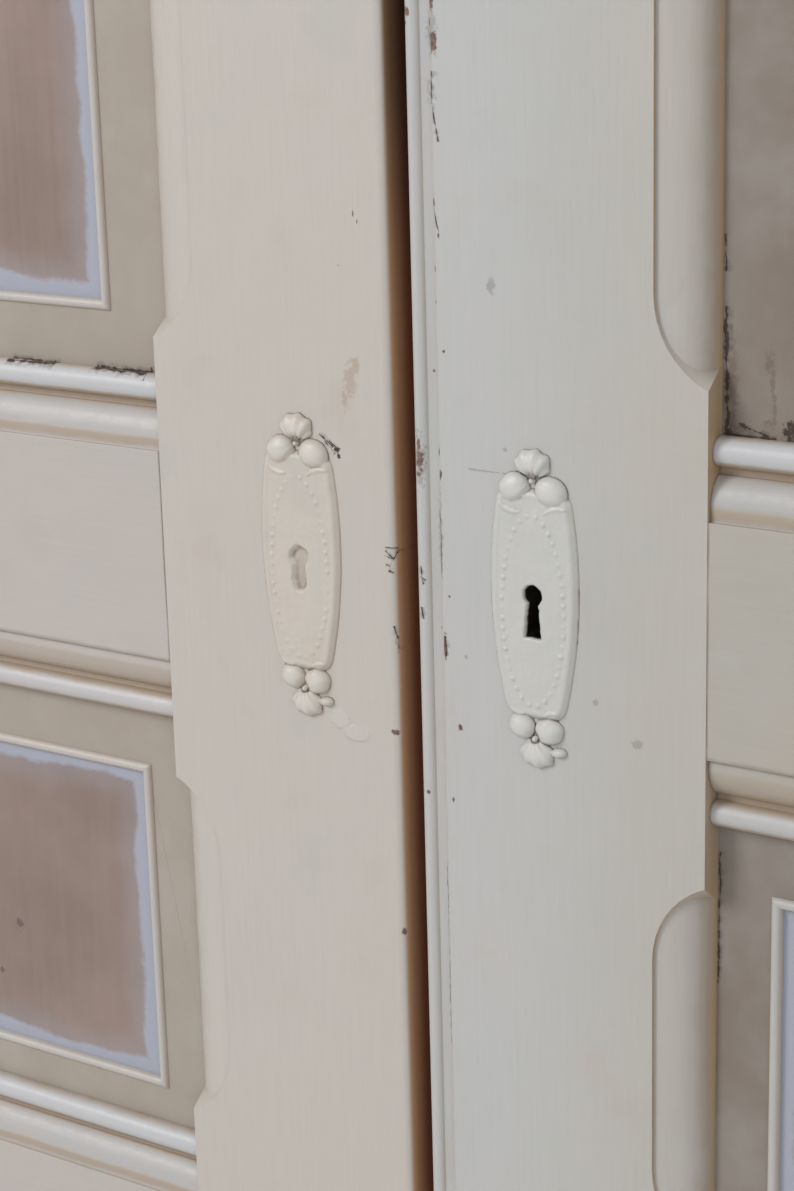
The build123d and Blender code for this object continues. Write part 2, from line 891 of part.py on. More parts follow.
def build_rod(start, end, knob_level):
    """A bolt's round rod with the knob that slides it."""
    bar = rod(rod_radius, (rod_place, rod_deep, start), (rod_place, rod_deep, end))
    knob_back = rod_deep + knob_length
    neck = rod(knob_neck_radius, (rod_place, rod_deep, knob_level), (rod_place, knob_back, knob_level))
    grip_front = knob_back - knob_radius
    grip = rod(knob_radius, (rod_place, grip_front, knob_level), (rod_place, knob_back, knob_level))
    return bar + neck + grip


def keep_seats(face, outward):
    across = rod_plate_width / 2 - screw_margin
    deep = stop_front + keep_depth - keep_screw_margin
    return [((rod_place + side * across, deep, face), outward, screw_length) for side in (-1, 1)]


def build_keep(face, back, seats):
    """A plate let into the frame's stop, with the hole that the rod enters."""
    half = rod_plate_width / 2
    keep = block((rod_place - half, rod_place + half), (stop_front, stop_front + keep_depth), (face, back))
    low = min(face, back) - beyond
    high = max(face, back) + beyond
    keep -= rod(rod_radius + keep_room, (rod_place, rod_deep, low), (rod_place, rod_deep, high))
    return cut_screws(keep, seats)


def cut_for_keep(part, face, back, end, seats):
    """The keep's housing and the rod's hole in the left half of the head or the threshold."""
    half = rod_plate_width / 2
    housing = block((rod_place - half, rod_place + half), (stop_front, stop_front + keep_depth), (face, back))
    hole = rod(rod_radius + keep_room, (rod_place, rod_deep, face), (rod_place, rod_deep, end))
    part -= mirrored(housing)
    part -= mirrored(hole)
    for point, outward, length in seats:
        part -= mirrored(screw(point, outward, length, screw_room))
    return part


top_keep_back = head_stop_low + keep_thickness
bottom_keep_back = threshold_stop_top - keep_thickness
top_keep_seats = keep_seats(head_stop_low, (0, 0, -1))
bottom_keep_seats = keep_seats(threshold_stop_top, (0, 0, 1))
top_rod_end = head_stop_low - rod_end_gap
bottom_rod_end = threshold_stop_top + rod_end_gap
top_plate_low = top_rod_end - rod_plate_distance - rod_plate_length
bottom_plate_low = bottom_rod_end + rod_plate_distance


# Frame
def frame_tenon():
    """The tenon on top of a jamb."""
    span = (jamb_face + frame_tenon_inset, frame_outer - frame_tenon_inset)
    deep = (frame_tenon_front, frame_tenon_back)
    return block(span, deep, (head_face, frame_top))


def threshold_tenon_block():
    inset = threshold_tenon_inset
    span = (jamb_face, jamb_face + threshold_tenon)
    return block(span, (frame_tenon_front, frame_tenon_back), (inset, threshold_top - inset))


stop_middle = (stop_front + frame_depth) / 2
fixing_spacing = (head_face - 2 * fixing_end_distance) / (fixing_count - 1)


def build_jamb():
    """The right jamb: the post, the stop behind the leaf and the fixing holes."""
    jamb = block((jamb_face, frame_outer), (0, frame_depth), (0, head_face))
    jamb += block((stop_inner, jamb_face), (stop_front, frame_depth), (threshold_top, head_face))
    jamb += frame_tenon()
    jamb -= threshold_tenon_block()
    for level in hinge_levels:
        jamb -= hinge_recess(jamb_face - beyond, jamb_face + hinge_leaf_thickness, level)
    for index in range(fixing_count):
        level = fixing_end_distance + index * fixing_spacing
        start = (stop_inner - beyond, stop_middle, level)
        jamb -= rod(fixing_radius, start, (frame_outer + beyond, stop_middle, level))
    return cut_screws(jamb, frame_hinge_seats)


def build_head():
    head = block((-frame_outer, frame_outer), (0, frame_depth), (head_face, frame_top))
    head += block((-stop_inner, stop_inner), (stop_front, frame_depth), (head_stop_low, head_face))
    head -= frame_tenon()
    head -= mirrored(frame_tenon())
    end = top_rod_end + rod_travel + rod_end_gap
    return cut_for_keep(head, head_stop_low, top_keep_back, end, top_keep_seats)


def build_threshold():
    """The threshold: a low board with a raised stop behind the leaves."""
    board = block((-jamb_face, jamb_face), (-threshold_nosing, frame_depth), (0, threshold_top))
    board += block((-stop_inner, stop_inner), (stop_front, frame_depth), (0, threshold_stop_top))
    board += threshold_tenon_block()
    board += mirrored(threshold_tenon_block())
    end = bottom_rod_end - rod_travel - rod_end_gap
    return cut_for_keep(board, threshold_stop_top, bottom_keep_back, end, bottom_keep_seats)


# Writing the frame
jamb_part = build_jamb()
save("frame_jamb_right", jamb_part)
save("frame_jamb_left", jamb_part, left=True)
save("frame_head", build_head())
save("frame_threshold", build_threshold())
frame_screws = [screw(*seat) for seat in frame_hinge_seats]
frame_screws += [mirrored(one) for one in frame_screws]
frame_screws += [mirrored(screw(*seat)) for seat in top_keep_seats + bottom_keep_seats]
save("frame_screws", frame_screws)
save("top_bolt_keep", build_keep(head_stop_low, top_keep_back, top_keep_seats), left=True)
save("bottom_bolt_keep", build_keep(threshold_stop_top, bottom_keep_back, bottom_keep_seats), left=True)

hinges = [hinge_parts(level) for level in hinge_levels]

# Writing the leaves
left_inner = left_front_edge + left_stile_width
right_inner = right_front_edge + right_stile_width
left_meeting = upright(left_meeting_outline(left_inner), leaf_bottom, leaf_top)
right_meeting = upright(right_meeting_outline(right_inner), leaf_bottom, leaf_top)
top_plate_seats = bolt_plate_seats(top_plate_low)
bottom_plate_seats = bolt_plate_seats(bottom_plate_low)
left_meeting = cut_for_strike(left_meeting)
left_meeting = cut_screws(left_meeting, top_plate_seats + bottom_plate_seats)
right_meeting = cut_for_lock(right_meeting)
left_plate_level = key_height + left_plate_rise

leaf_pieces = (
    ("left", left_meeting, left_inner, left_key_place, left_plate_level),
    ("right", right_meeting, right_inner, right_key_place, key_height),
)
for name, meeting, inner, key_place, plate_level in leaf_pieces:
    left = name == "left"
    for pin_room in plate_pins(key_place, plate_level, screw_room):
        meeting -= pin_room
    meeting = dress_stile(meeting, inner, hinge_inner, inner, False)
    save(name + "_meeting_stile", meeting, left)

    hinge_stile = block((hinge_inner, leaf_reach), (0, leaf_thickness), (leaf_bottom, leaf_top))
    for hinge_level in hinge_levels:
        hinge_stile -= hinge_recess(leaf_reach - hinge_leaf_thickness, leaf_reach + beyond, hinge_level)
    hinge_stile = cut_screws(hinge_stile, door_hinge_seats)
    hinge_stile = dress_stile(hinge_stile, inner, hinge_inner, hinge_inner, True)
    save(name + "_hinge_stile", hinge_stile, left)

    for rail in rails:
        save(name + "_" + rail.name, build_rail(rail, inner, hinge_inner), left)

    front_beads = []
    back_beads = []
    for opening in openings:
        board, pane, front_ring, back_ring = build_panel(opening, inner, hinge_inner)
        save(name + "_" + opening.name + "_panel", board, left)
        save(name + "_" + opening.name + "_pane", pane, left)
        front_beads += front_ring
        back_beads += back_ring
    save(name + "_front_beads", front_beads, left)
    save(name + "_back_beads", back_beads, left)

    save(name + "_hinge_frame_leaves", [hinge[0] for hinge in hinges], left)
    save(name + "_hinge_door_leaves", [hinge[1] for hinge in hinges], left)
    save(name + "_hinge_pins", [hinge[2] for hinge in hinges], left)
    save(name + "_escutcheon_pins", plate_pins(key_place, plate_level), left)

# Writing the keyhole plates
left_plate = build_escutcheon(left_key_place, left_plate_level)
left_plate -= keyhole(left_key_place, left_plate_level, -2 * plate_thickness, blind_key_depth - plate_thickness)
save("left_escutcheon", left_plate, left=True)
right_plate = build_escutcheon(right_key_place, key_height)
right_plate -= keyhole(right_key_place, key_height, -2 * plate_thickness, beyond)
save("right_escutcheon", right_plate)
save("back_keyhole_plate", build_back_plate())

# Writing the lock, the strike plate, the surface bolts and the leaves' screws
lock_case, lock_cover, lock_forend, dead_bolt, bolt_spring = build_lock()
save("lock_case", lock_case)
save("lock_cover", lock_cover)
save("lock_forend", lock_forend)
save("dead_bolt", dead_bolt)
save("bolt_spring", bolt_spring)
save("strike_plate", build_strike(), left=True)
save("top_bolt_plate", build_bolt_plate(top_plate_low), left=True)
save("bottom_bolt_plate", build_bolt_plate(bottom_plate_low), left=True)
knob_from_plate = rod_plate_length / 2
top_knob = top_plate_low + knob_from_plate
bottom_knob = bottom_plate_low + knob_from_plate
save("top_bolt", build_rod(top_rod_end - rod_length, top_rod_end, top_knob), left=True)
save("bottom_bolt", build_rod(bottom_rod_end, bottom_rod_end + rod_length, bottom_knob), left=True)
right_seats = door_hinge_seats + forend_seats + back_plate_seats
left_seats = door_hinge_seats + strike_seats + top_plate_seats + bottom_plate_seats
save("right_leaf_screws", [screw(*seat) for seat in right_seats])
save("left_leaf_screws", [screw(*seat) for seat in left_seats], left=True)
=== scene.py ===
# %% [markdown]
# A pair of old painted french doors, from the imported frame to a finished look.
#
# The photograph is a close-up of the two meeting stiles: many coats of cream paint over carved
# wood, two stamped keyhole plates under the same paint, a dark slit and a few chips and cracks.
# The frame already holds every solid at its true size. This lesson dresses it: soft painted
# edges, thick paint on the plates, painted glass, worn metal, and a plain studio around it.

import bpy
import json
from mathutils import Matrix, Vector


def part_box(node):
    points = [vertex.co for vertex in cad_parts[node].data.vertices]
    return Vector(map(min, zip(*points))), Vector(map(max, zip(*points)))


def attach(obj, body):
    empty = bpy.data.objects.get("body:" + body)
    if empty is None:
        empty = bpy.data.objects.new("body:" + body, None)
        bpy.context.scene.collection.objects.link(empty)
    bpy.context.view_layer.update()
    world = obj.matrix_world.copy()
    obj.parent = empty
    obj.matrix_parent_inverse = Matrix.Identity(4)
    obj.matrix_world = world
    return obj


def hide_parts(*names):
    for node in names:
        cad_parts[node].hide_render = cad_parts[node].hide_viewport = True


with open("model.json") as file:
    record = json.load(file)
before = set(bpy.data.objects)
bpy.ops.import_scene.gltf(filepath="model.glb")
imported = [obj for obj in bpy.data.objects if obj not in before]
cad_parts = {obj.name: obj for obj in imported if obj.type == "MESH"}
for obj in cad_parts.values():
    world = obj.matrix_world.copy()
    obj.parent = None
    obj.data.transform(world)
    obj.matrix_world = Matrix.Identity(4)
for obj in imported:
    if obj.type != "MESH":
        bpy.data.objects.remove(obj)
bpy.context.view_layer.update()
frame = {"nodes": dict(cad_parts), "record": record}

# %% The modules and the values that the whole lesson shares
import json
import math

import bmesh
import bpy
from mathutils import Matrix, Vector
from mathutils import noise as mathutils_noise

MM = 0.001
waves = mathutils_noise.noise
record = frame["record"]
slot_of = {part["node"]: part["material_slot"] for part in record["subparts"]}
body_of = {}
for body, nodes in record["behaviour"]["bodies"].items():
    for node in nodes:
        body_of[node] = body
print("slots:", sorted(set(slot_of.values())))

# %% [markdown]
# Materials are built from nodes, and the same few wires are drawn again and again. A small
# helper that makes a node, sets its inputs and links what is passed to it keeps each material
# short enough to read. A value that is an output socket is linked, and any other value is set.


# %% Helpers for node trees
def srgb(red, green, blue):
    """A colour as a colour picker shows it, from 0 to 255, turned into linear light."""
    linear = []
    for channel in (red, green, blue):
        share = channel / 255
        linear.append(share / 12.92 if share <= 0.04045 else ((share + 0.055) / 1.055) ** 2.4)
    return (*linear, 1.0)


def set_input(tree, socket, value):
    """Links an output socket to an input, or sets a plain value."""
    if isinstance(value, bpy.types.NodeSocket):
        tree.links.new(value, socket)
    else:
        socket.default_value = value


def add(tree, kind, settings=None, **inputs):
    """One node. Inputs are named with underscores, or by their place as in input_0."""
    node = tree.nodes.new(kind)
    for name, value in (settings or {}).items():
        setattr(node, name, value)
    for name, value in inputs.items():
        place = name.removeprefix("input_")
        socket = node.inputs[int(place)] if place.isdigit() else node.inputs[name.replace("_", " ")]
        set_input(tree, socket, value)
    return node


def sums(tree, operation, *values):
    """A Math node's result."""
    inputs = {"input_%d" % place: value for place, value in enumerate(values)}
    return add(tree, "ShaderNodeMath", {"operation": operation}, **inputs).outputs[0]


def times(tree, *values):
    """The product of two or more values."""
    product = values[0]
    for value in values[1:]:
        product = sums(tree, "MULTIPLY", product, value)
    return product


def vectors(tree, operation, *values):
    """A Vector Math node's result: a number for a length or a dot product, or else a vector."""
    inputs = {"input_%d" % place: value for place, value in enumerate(values)}
    node = add(tree, "ShaderNodeVectorMath", {"operation": operation}, **inputs)
    return node.outputs["Value" if operation in ("LENGTH", "DOT_PRODUCT") else "Vector"]


def parts_of(tree, vector):
    """The X, Y and Z of a vector."""
    return add(tree, "ShaderNodeSeparateXYZ", Vector=vector).outputs


def stored(tree, name, output="Vector"):
    """What a mesh stores for each of its points under a name."""
    return add(tree, "ShaderNodeAttribute", {"attribute_name": name}).outputs[output]


def ramp(tree, value, start, end, low=0.0, high=1.0):
    """A smooth step from low to high while the value goes from start to end."""
    node = add(tree, "ShaderNodeMapRange", {"interpolation_type": "SMOOTHSTEP"},
               Value=value, From_Min=start, From_Max=end, To_Min=low, To_Max=high)
    return node.outputs["Result"]


def blend(tree, factor, first, second):
    """Two colours mixed by a factor."""
    node = add(tree, "ShaderNodeMix", {"data_type": "RGBA"}, input_0=factor, input_6=first, input_7=second)
    return node.outputs[2]


def noise(tree, vector, scale, detail=2.0, roughness=0.5):
    """Noise between 0 and 1."""
    node = add(tree, "ShaderNodeTexNoise", Vector=vector, Scale=scale, Detail=detail, Roughness=roughness)
    return node.outputs[0]


def bump(tree, height, distance):
    """The normal of a surface with small heights on it."""
    return add(tree, "ShaderNodeBump", Strength=1.0, Distance=distance, Height=height).outputs[0]


print("helpers for node trees are ready")

# %% Helpers for materials and node groups
def group(name, inputs, outputs):
    """An empty shader node group with typed, named sockets, and its two end nodes."""
    tree = bpy.data.node_groups.new(name, "ShaderNodeTree")
    for label, kind, value in inputs:
        socket = tree.interface.new_socket(label, in_out="INPUT", socket_type="NodeSocket" + kind)
        if value is not None:
            socket.default_value = value
    for label, kind in outputs:
        tree.interface.new_socket(label, in_out="OUTPUT", socket_type="NodeSocket" + kind)
    return tree, tree.nodes.new("NodeGroupInput").outputs, tree.nodes.new("NodeGroupOutput").inputs


def use(tree, node_group, **inputs):
    """A node group placed in a material."""
    return add(tree, "ShaderNodeGroup", {"node_tree": node_group}, **inputs).outputs


def new_material(name):
    """A material with its node tree, the inputs of its shader, and the place on the object."""
    material = bpy.data.materials.new(name)
    material.use_nodes = True
    tree = material.node_tree
    place = add(tree, "ShaderNodeTexCoord").outputs["Object"]
    return material, tree, tree.nodes["Principled BSDF"].inputs, place


print("helpers for materials are ready")

# %% [markdown]
# The paint. Oil paint on an old door shows the way of the brush: along the stiles, and across
# on the rails. The colour drifts in soft clouds, a few specks of dust were painted in, and the
# hollows of the mouldings are darkened, partly as dirt and partly as painted shade; slopes and
# sides are tinted the same way, most where they face down. A stretched noise makes the brush
# marks, and depth behind the face, which is Y on these doors, tells where the hollows are. This
# is one node group, because the stiles, rails, boards, plates and frame all need it with other
# values.


# %% The brushed paint group
YELLOWED = srgb(180, 163, 142)
PINKISH = srgb(186, 170, 164)
GREENISH = srgb(176, 182, 176)
SIDE_GRIME_AND_SHADE = srgb(172, 146, 112)
PAINTED_DUST = srgb(118, 96, 80)


def build_brushed_paint():
    """Strokes and clouds in the tint, yellow, pink and green patches, dirt and painted shade in the
    hollows and on slopes, most on those that face down, the same on faces turned sideways, and a
    few specks. Depths count from the nearer face."""
    tree, given, result = group(
        "brushed_paint",
        [("Place", "Vector", None), ("Tint", "Color", srgb(200, 190, 178)),
         ("Hollow", "Color", srgb(150, 130, 108)), ("Stroke", "Vector", (600.0, 600.0, 22.0)),
         ("Hollow Start", "Float", 0.002), ("Hollow End", "Float", 0.014),
         ("Half Thickness", "Float", 0.022), ("Slope Dirt", "Float", 0.5),
         ("Side Dirt", "Float", 0.0), ("Slope Tint", "Color", srgb(184, 160, 132))],
        [("Color", "Color"), ("Roughness", "Float"), ("Height", "Float")],
    )
    place = given["Place"]
    strokes = noise(tree, vectors(tree, "MULTIPLY", place, given["Stroke"]), 1.0, 3.0, 0.6)
    clouds = noise(tree, place, 5.0, 3.0, 0.55)
    patches = noise(tree, place, 26.0, 3.0, 0.6)
    grain = noise(tree, place, 420.0, 2.0, 0.6)

    light = sums(tree, "MULTIPLY_ADD", strokes, 0.10, 0.95)
    light = times(tree, light, ramp(tree, clouds, 0.25, 0.75, 0.95, 1.03))
    shade = add(tree, "ShaderNodeVectorMath", {"operation": "SCALE"}, input_0=given["Tint"], Scale=light)
    colour = blend(tree, ramp(tree, patches, 0.55, 0.8, 0.0, 0.22), shade.outputs[0], YELLOWED)
    colour = blend(tree, ramp(tree, clouds, 0.42, 0.66, 0.0, 0.22), colour, PINKISH)
    colour = blend(tree, ramp(tree, patches, 0.46, 0.28, 0.0, 0.25), colour, GREENISH)

    # Hollows darken with depth, as dirt and as painted shade.
    from_middle = sums(tree, "SUBTRACT", parts_of(tree, place)["Y"], given["Half Thickness"])
    depth = sums(tree, "SUBTRACT", given["Half Thickness"], sums(tree, "ABSOLUTE", from_middle))
    hollow = ramp(tree, depth, given["Hollow Start"], given["Hollow End"])
    hollow = times(tree, hollow, ramp(tree, patches, 0.2, 0.7, 0.76, 1.0))
    colour = blend(tree, hollow, colour, given["Hollow"])

    # Slopes are tinted as dirt and as painted shade, most of all those that face down.
    normal = add(tree, "ShaderNodeNewGeometry").outputs["Normal"]
    to_object = {"vector_type": "VECTOR", "convert_from": "WORLD", "convert_to": "OBJECT"}
    faces = parts_of(tree, add(tree, "ShaderNodeVectorTransform", to_object, Vector=normal).outputs[0])
    slope = times(tree, ramp(tree, sums(tree, "ABSOLUTE", faces["Y"]), 0.93, 0.5), given["Slope Dirt"])
    slope = times(tree, slope, ramp(tree, faces["Z"], 0.35, -0.15, 0.3, 1.0))
    slope = times(tree, slope, ramp(tree, patches, 0.3, 0.65, 0.6, 1.0))
    colour = blend(tree, slope, colour, given["Slope Tint"])
    # Faces turned sideways are tinted as grime and as painted shade.
    side = times(tree, ramp(tree, sums(tree, "ABSOLUTE", faces["X"]), 0.8, 0.98), given["Side Dirt"])
    colour = blend(tree, times(tree, side, ramp(tree, patches, 0.3, 0.65, 0.5, 1.0)), colour, SIDE_GRIME_AND_SHADE)

    dots = add(tree, "ShaderNodeTexVoronoi", Vector=place, Scale=110.0)
    chosen = add(tree, "ShaderNodeSeparateColor", Color=dots.outputs["Color"]).outputs[0]
    specks = times(tree, ramp(tree, dots.outputs["Distance"], 0.05, 0.02), ramp(tree, chosen, 0.955, 0.965))
    colour = blend(tree, times(tree, specks, 0.7), colour, PAINTED_DUST)

    height = times(tree, strokes, 0.10)
    height = sums(tree, "MULTIPLY_ADD", grain, 0.05, height)
    height = sums(tree, "MULTIPLY_ADD", patches, 0.55, height)

    tree.links.new(colour, result["Color"])
    tree.links.new(ramp(tree, grain, 0.3, 0.7, 0.36, 0.48), result["Roughness"])
    tree.links.new(height, result["Height"])
    return tree


brushed_paint = build_brushed_paint()
print("brushed paint:", len(brushed_paint.nodes), "nodes")

# %% [markdown]
# Damage. A chip is a ragged spot where the paint has come off down to the primer, and a crack
# is a thin wandering line. Both are masks at a named place on the door, bent by noise so that
# no edge is smooth. They are two small groups with inputs for place, size and raggedness, so
# one chip is one line in a list.


# %% The chip and crack groups
def build_chip():
    """A ragged spot round a middle. Its half sizes are in metres."""
    tree, given, result = group(
        "paint_chip",
        [("Place", "Vector", None), ("Middle", "Vector", (0, 0, 0)),
         ("Half Size", "Vector", (0.002, 0.02, 0.002)), ("Ragged", "Float", 0.7)],
        [("Mask", "Float")],
    )
    offset = vectors(tree, "SUBTRACT", given["Place"], given["Middle"])
    far = vectors(tree, "LENGTH", vectors(tree, "DIVIDE", offset, given["Half Size"]))
    rough = sums(tree, "SUBTRACT", noise(tree, given["Place"], 420.0, 3.0, 0.7), 0.5)
    ragged = times(tree, rough, times(tree, given["Ragged"], 3.2))
    tree.links.new(ramp(tree, sums(tree, "ADD", far, ragged), 1.3, 0.72), result["Mask"])
    return tree


def build_crack():
    """A hairline from a start along a way. It wanders aside, and its width comes and goes."""
    tree, given, result = group(
        "paint_crack",
        [("Place", "Vector", None), ("Start", "Vector", (0, 0, 0)), ("Way", "Vector", (0, 0, 1)),
         ("Aside", "Vector", (1, 0, 0)), ("Length", "Float", 0.05), ("Width", "Float", 0.0004),
         ("Wander", "Float", 0.003)],
        [("Mask", "Float")],
    )
    offset = vectors(tree, "SUBTRACT", given["Place"], given["Start"])
    along = vectors(tree, "DOT_PRODUCT", offset, given["Way"])
    aside = vectors(tree, "DOT_PRODUCT", offset, given["Aside"])
    bends = sums(tree, "SUBTRACT", noise(tree, given["Place"], 130.0, 4.0, 0.65), 0.5)
    bent = sums(tree, "MULTIPLY_ADD", bends, given["Wander"], aside)
    thick = noise(tree, given["Place"], 300.0, 2.0, 0.5)
    width = times(tree, given["Width"], ramp(tree, thick, 0.35, 0.65, 0.2, 1.6))
    near = sums(tree, "DIVIDE", sums(tree, "ABSOLUTE", bent), width)
    line = sums(tree, "MAXIMUM", ramp(tree, near, 1.3, 0.6), ramp(tree, near, 4.5, 0.8, 0.0, 0.36))
    share = sums(tree, "DIVIDE", along, given["Length"])
    ends = times(tree, ramp(tree, share, 0.0, 0.03), ramp(tree, share, 1.0, 0.97))
    tree.links.new(times(tree, line, ends), result["Mask"])
    return tree


paint_chip = build_chip()
paint_crack = build_crack()
print("damage groups:", paint_chip.name, paint_crack.name)

# %% A function that gathers chips and cracks into one mask
FRONT_HALF = 22 * MM
SOFT_END = 3 * MM


def gather(tree, place, chips, cracks, through=FRONT_HALF):
    """The largest of all the masks, from the front to a depth: chips as (x, z, half wide, half
    tall, ragged) in millimetres, cracks as (x, z, x, z, width, wander) from end to end."""
    mask = 0.0
    for x, z, wide, tall, ragged in chips:
        one = use(tree, paint_chip, Place=place, Middle=(x * MM, 0, z * MM),
                  Half_Size=(wide * MM, 0.03, tall * MM), Ragged=ragged)["Mask"]
        mask = sums(tree, "MAXIMUM", mask, one)
    for x, z, end_x, end_z, width, wander in cracks:
        run = Vector((end_x - x, 0, end_z - z)) * MM
        way = run.normalized()
        one = use(tree, paint_crack, Place=place, Start=(x * MM, 0, z * MM), Way=way,
                  Aside=(way.z, 0, -way.x), Length=run.length, Width=width * MM, Wander=wander * MM)["Mask"]
        mask = sums(tree, "MAXIMUM", mask, one)
    return times(tree, mask, ramp(tree, parts_of(tree, place)["Y"], through, through - SOFT_END))


print("marks reach", FRONT_HALF / MM, "mm into a leaf")

# %% [markdown]
# The paint of the leaves, the frame and the plates is one function with other values: the left
# leaf is a warm cream, the right one a cooler cream, as in the photograph; this difference is
# painted light, for warmer light on the left and cooler light on the right. Stiles and jambs are
# brushed upwards, rails and the head are brushed along their length. The high forms of a
# moulding get a painted highlight, and its grooves and the faces that turn down are tinted tan,
# partly dirt and partly painted shade, so a rail is tinted in bands that are counted from its
# edges. Where the paint pools it is darker, as dirt and as painted shade, and the slit between
# the two stiles is tan and brown wood with painted shade.

# %% The colours of the paint, of what lies under it and on it, and of its painted light and shade
# One paint on both leaves: the warm left tint and the cool right tint are painted light.
WARM = srgb(193, 188, 182)
COOL = srgb(187, 188, 188)
# The hollow colours darken recesses, as dirt and as painted shade.
WARM_HOLLOW = srgb(162, 152, 142)
COOL_HOLLOW = srgb(133, 121, 110)
BOARD_HOLLOW = srgb(124, 112, 102)
# A pale colour that lightens high tops and paint lumps: a painted highlight.
PALE_HIGHLIGHT = srgb(212, 211, 206)
BLUISH_WHITE = srgb(194, 196, 201)
OVOLO_WHITE = srgb(178, 178, 180)
PRIMER = srgb(128, 98, 88)
PRIMER_DARK = srgb(86, 76, 76)
PEELED = srgb(100, 80, 66)
BARE_DARK = srgb(62, 50, 44)
GROOVE_TAN = srgb(168, 148, 126)
# The joint colour is dirt in the joints and painted shade under the lower moulding.
JOINT_DIRT_AND_SHADE = srgb(122, 108, 94)
# The crease colour is dirt and painted shade where the paint pools.
CREASE_DIRT_AND_SHADE = srgb(140, 120, 102)
# The slit's tan is wood colour and painted shade on its rounded lips.
SLIT_TAN = srgb(160, 124, 94)
SLIT_BROWN = srgb(140, 98, 76)
STAIN = srgb(160, 134, 104)
GREY_STAIN = srgb(120, 114, 110)
# A near black: painted shade inside the keyhole, and the slit's darkening higher up.
NEAR_BLACK = srgb(26, 20, 17)
print("warm paint in linear light:", [round(share, 3) for share in WARM])

# %% Tints on mouldings, in creases and in the slit
MOULDING_DEPTH = (13 * MM, 11 * MM)
# Pale bands are painted highlights; tan bands are dirt and painted shade, most on faces turned down.
BANDS_ABOVE = (
    (0.5 * MM, 9.5 * MM, BLUISH_WHITE, 0.8), (15.5 * MM, 25.5 * MM, OVOLO_WHITE, 0.6),
    (9.8 * MM, 14.8 * MM, GROOVE_TAN, 0.7), (26.8 * MM, 30.6 * MM, GROOVE_TAN, 0.6),
)
BANDS_BELOW = (
    (2.5 * MM, 9.5 * MM, BLUISH_WHITE, 0.5), (14.0 * MM, 24.5 * MM, GROOVE_TAN, 0.4),
    (-4.0 * MM, 1.5 * MM, GROOVE_TAN, 0.7), (9.8 * MM, 14.0 * MM, GROOVE_TAN, 0.6),
    (28.6 * MM, 30.4 * MM, JOINT_DIRT_AND_SHADE, 0.45),
)
# Heights at which a painted highlight lightens a relief's tops.
PALE_TOPS = (-2.2 * MM, -4.4 * MM)
SLIT_LIPS = ((0.3 * MM, 2.6 * MM), (43.6 * MM, 40 * MM))
SLIT_INSIDE = ((3.5 * MM, 14 * MM), (43 * MM, 34 * MM))
SLIT_DARKER_FROM = 1.12
SLIT_DARKER_ABOVE = 1.25


def moulding_tints(tree, place, colour, joints):
    """The bands of a rail, each as (start, end, tint, strength) from its upper or lower edge: pale
    painted highlights, and tan dirt and painted shade. Also the dirt in the two upright joints
    beside it."""
    axes = parts_of(tree, place)
    ends = parts_of(tree, stored(tree, "from_ends"))
    wobble = sums(tree, "MULTIPLY_ADD", noise(tree, place, 60.0, 3.0, 0.6), 2 * MM, -1 * MM)
    below = sums(tree, "ADD", ends["Z"], wobble)
    above = sums(tree, "ADD", ends["X"], wobble)
    front = ramp(tree, axes["Y"], *MOULDING_DEPTH)
    # Painted highlights, and painted shade with dirt, in bands along the mouldings.
    for near, bands in ((above, BANDS_ABOVE), (below, BANDS_BELOW)):
        for start, end, tint, strength in bands:
            band = times(tree, ramp(tree, near, start - MM, start + MM),
                         ramp(tree, near, end + MM, end - MM), times(tree, front, strength))
            colour = blend(tree, band, colour, tint)
    inner = sums(tree, "ABSOLUTE", sums(tree, "SUBTRACT", axes["X"], joints[0]))
    outer = sums(tree, "ABSOLUTE", sums(tree, "SUBTRACT", axes["X"], joints[1]))
    near = sums(tree, "MULTIPLY_ADD", wobble, 0.4, sums(tree, "MINIMUM", inner, outer))
    broken = ramp(tree, noise(tree, place, 30.0, 3.0, 0.6), 0.35, 0.6, 0.25, 0.8)
    return blend(tree, times(tree, ramp(tree, near, 1.3 * MM, 0.4 * MM), broken), colour, JOINT_DIRT_AND_SHADE)


def crease_tints(tree, place, colour, strength):
    """A relief with a painted highlight on its tops, dirt and painted shade where the paint pools,
    and the darkest where it pools most.
    """
    # A painted highlight on the tops, then dirt and painted shade in the creases.
    colour = blend(tree, ramp(tree, parts_of(tree, place)["Y"], *PALE_TOPS, 0.0, 0.6), colour, PALE_HIGHLIGHT)
    depth = stored(tree, "crease", "Fac")
    patchy = ramp(tree, noise(tree, place, 150.0, 2.0, 0.5), 0.38, 0.6, 0.25, 1.0)
    shallow = times(tree, ramp(tree, depth, 0.04, 0.30, 0.0, strength), patchy)
    deepest = times(tree, ramp(tree, depth, 0.30, 0.55, 0.0, 0.8), patchy)
    return blend(tree, deepest, blend(tree, shallow, colour, CREASE_DIRT_AND_SHADE), BARE_DARK)


def slit_tints(tree, place, colour, half_wide):
    """Tan at the slit's lips, partly painted shade on their rounding, brown further in, darker
    higher up, and painted again behind.
    """
    axes = parts_of(tree, place)
    across = ramp(tree, sums(tree, "ABSOLUTE", axes["X"]), half_wide + 1.5 * MM, half_wide - 0.5 * MM)
    higher = ramp(tree, axes["Z"], SLIT_DARKER_FROM, SLIT_DARKER_ABOVE, 0.0, 0.55)
    # The lips get the wood's tan with painted shade, the inside brown wood; both grow darker higher up.
    for (front, back), dirt in ((SLIT_LIPS, SLIT_TAN), (SLIT_INSIDE, SLIT_BROWN)):
        depth = times(tree, across, ramp(tree, axes["Y"], *front), ramp(tree, axes["Y"], *back))
        colour = blend(tree, depth, colour, blend(tree, higher, dirt, NEAR_BLACK))
    return colour


print("bands on a rail:", len(BANDS_ABOVE) + len(BANDS_BELOW))

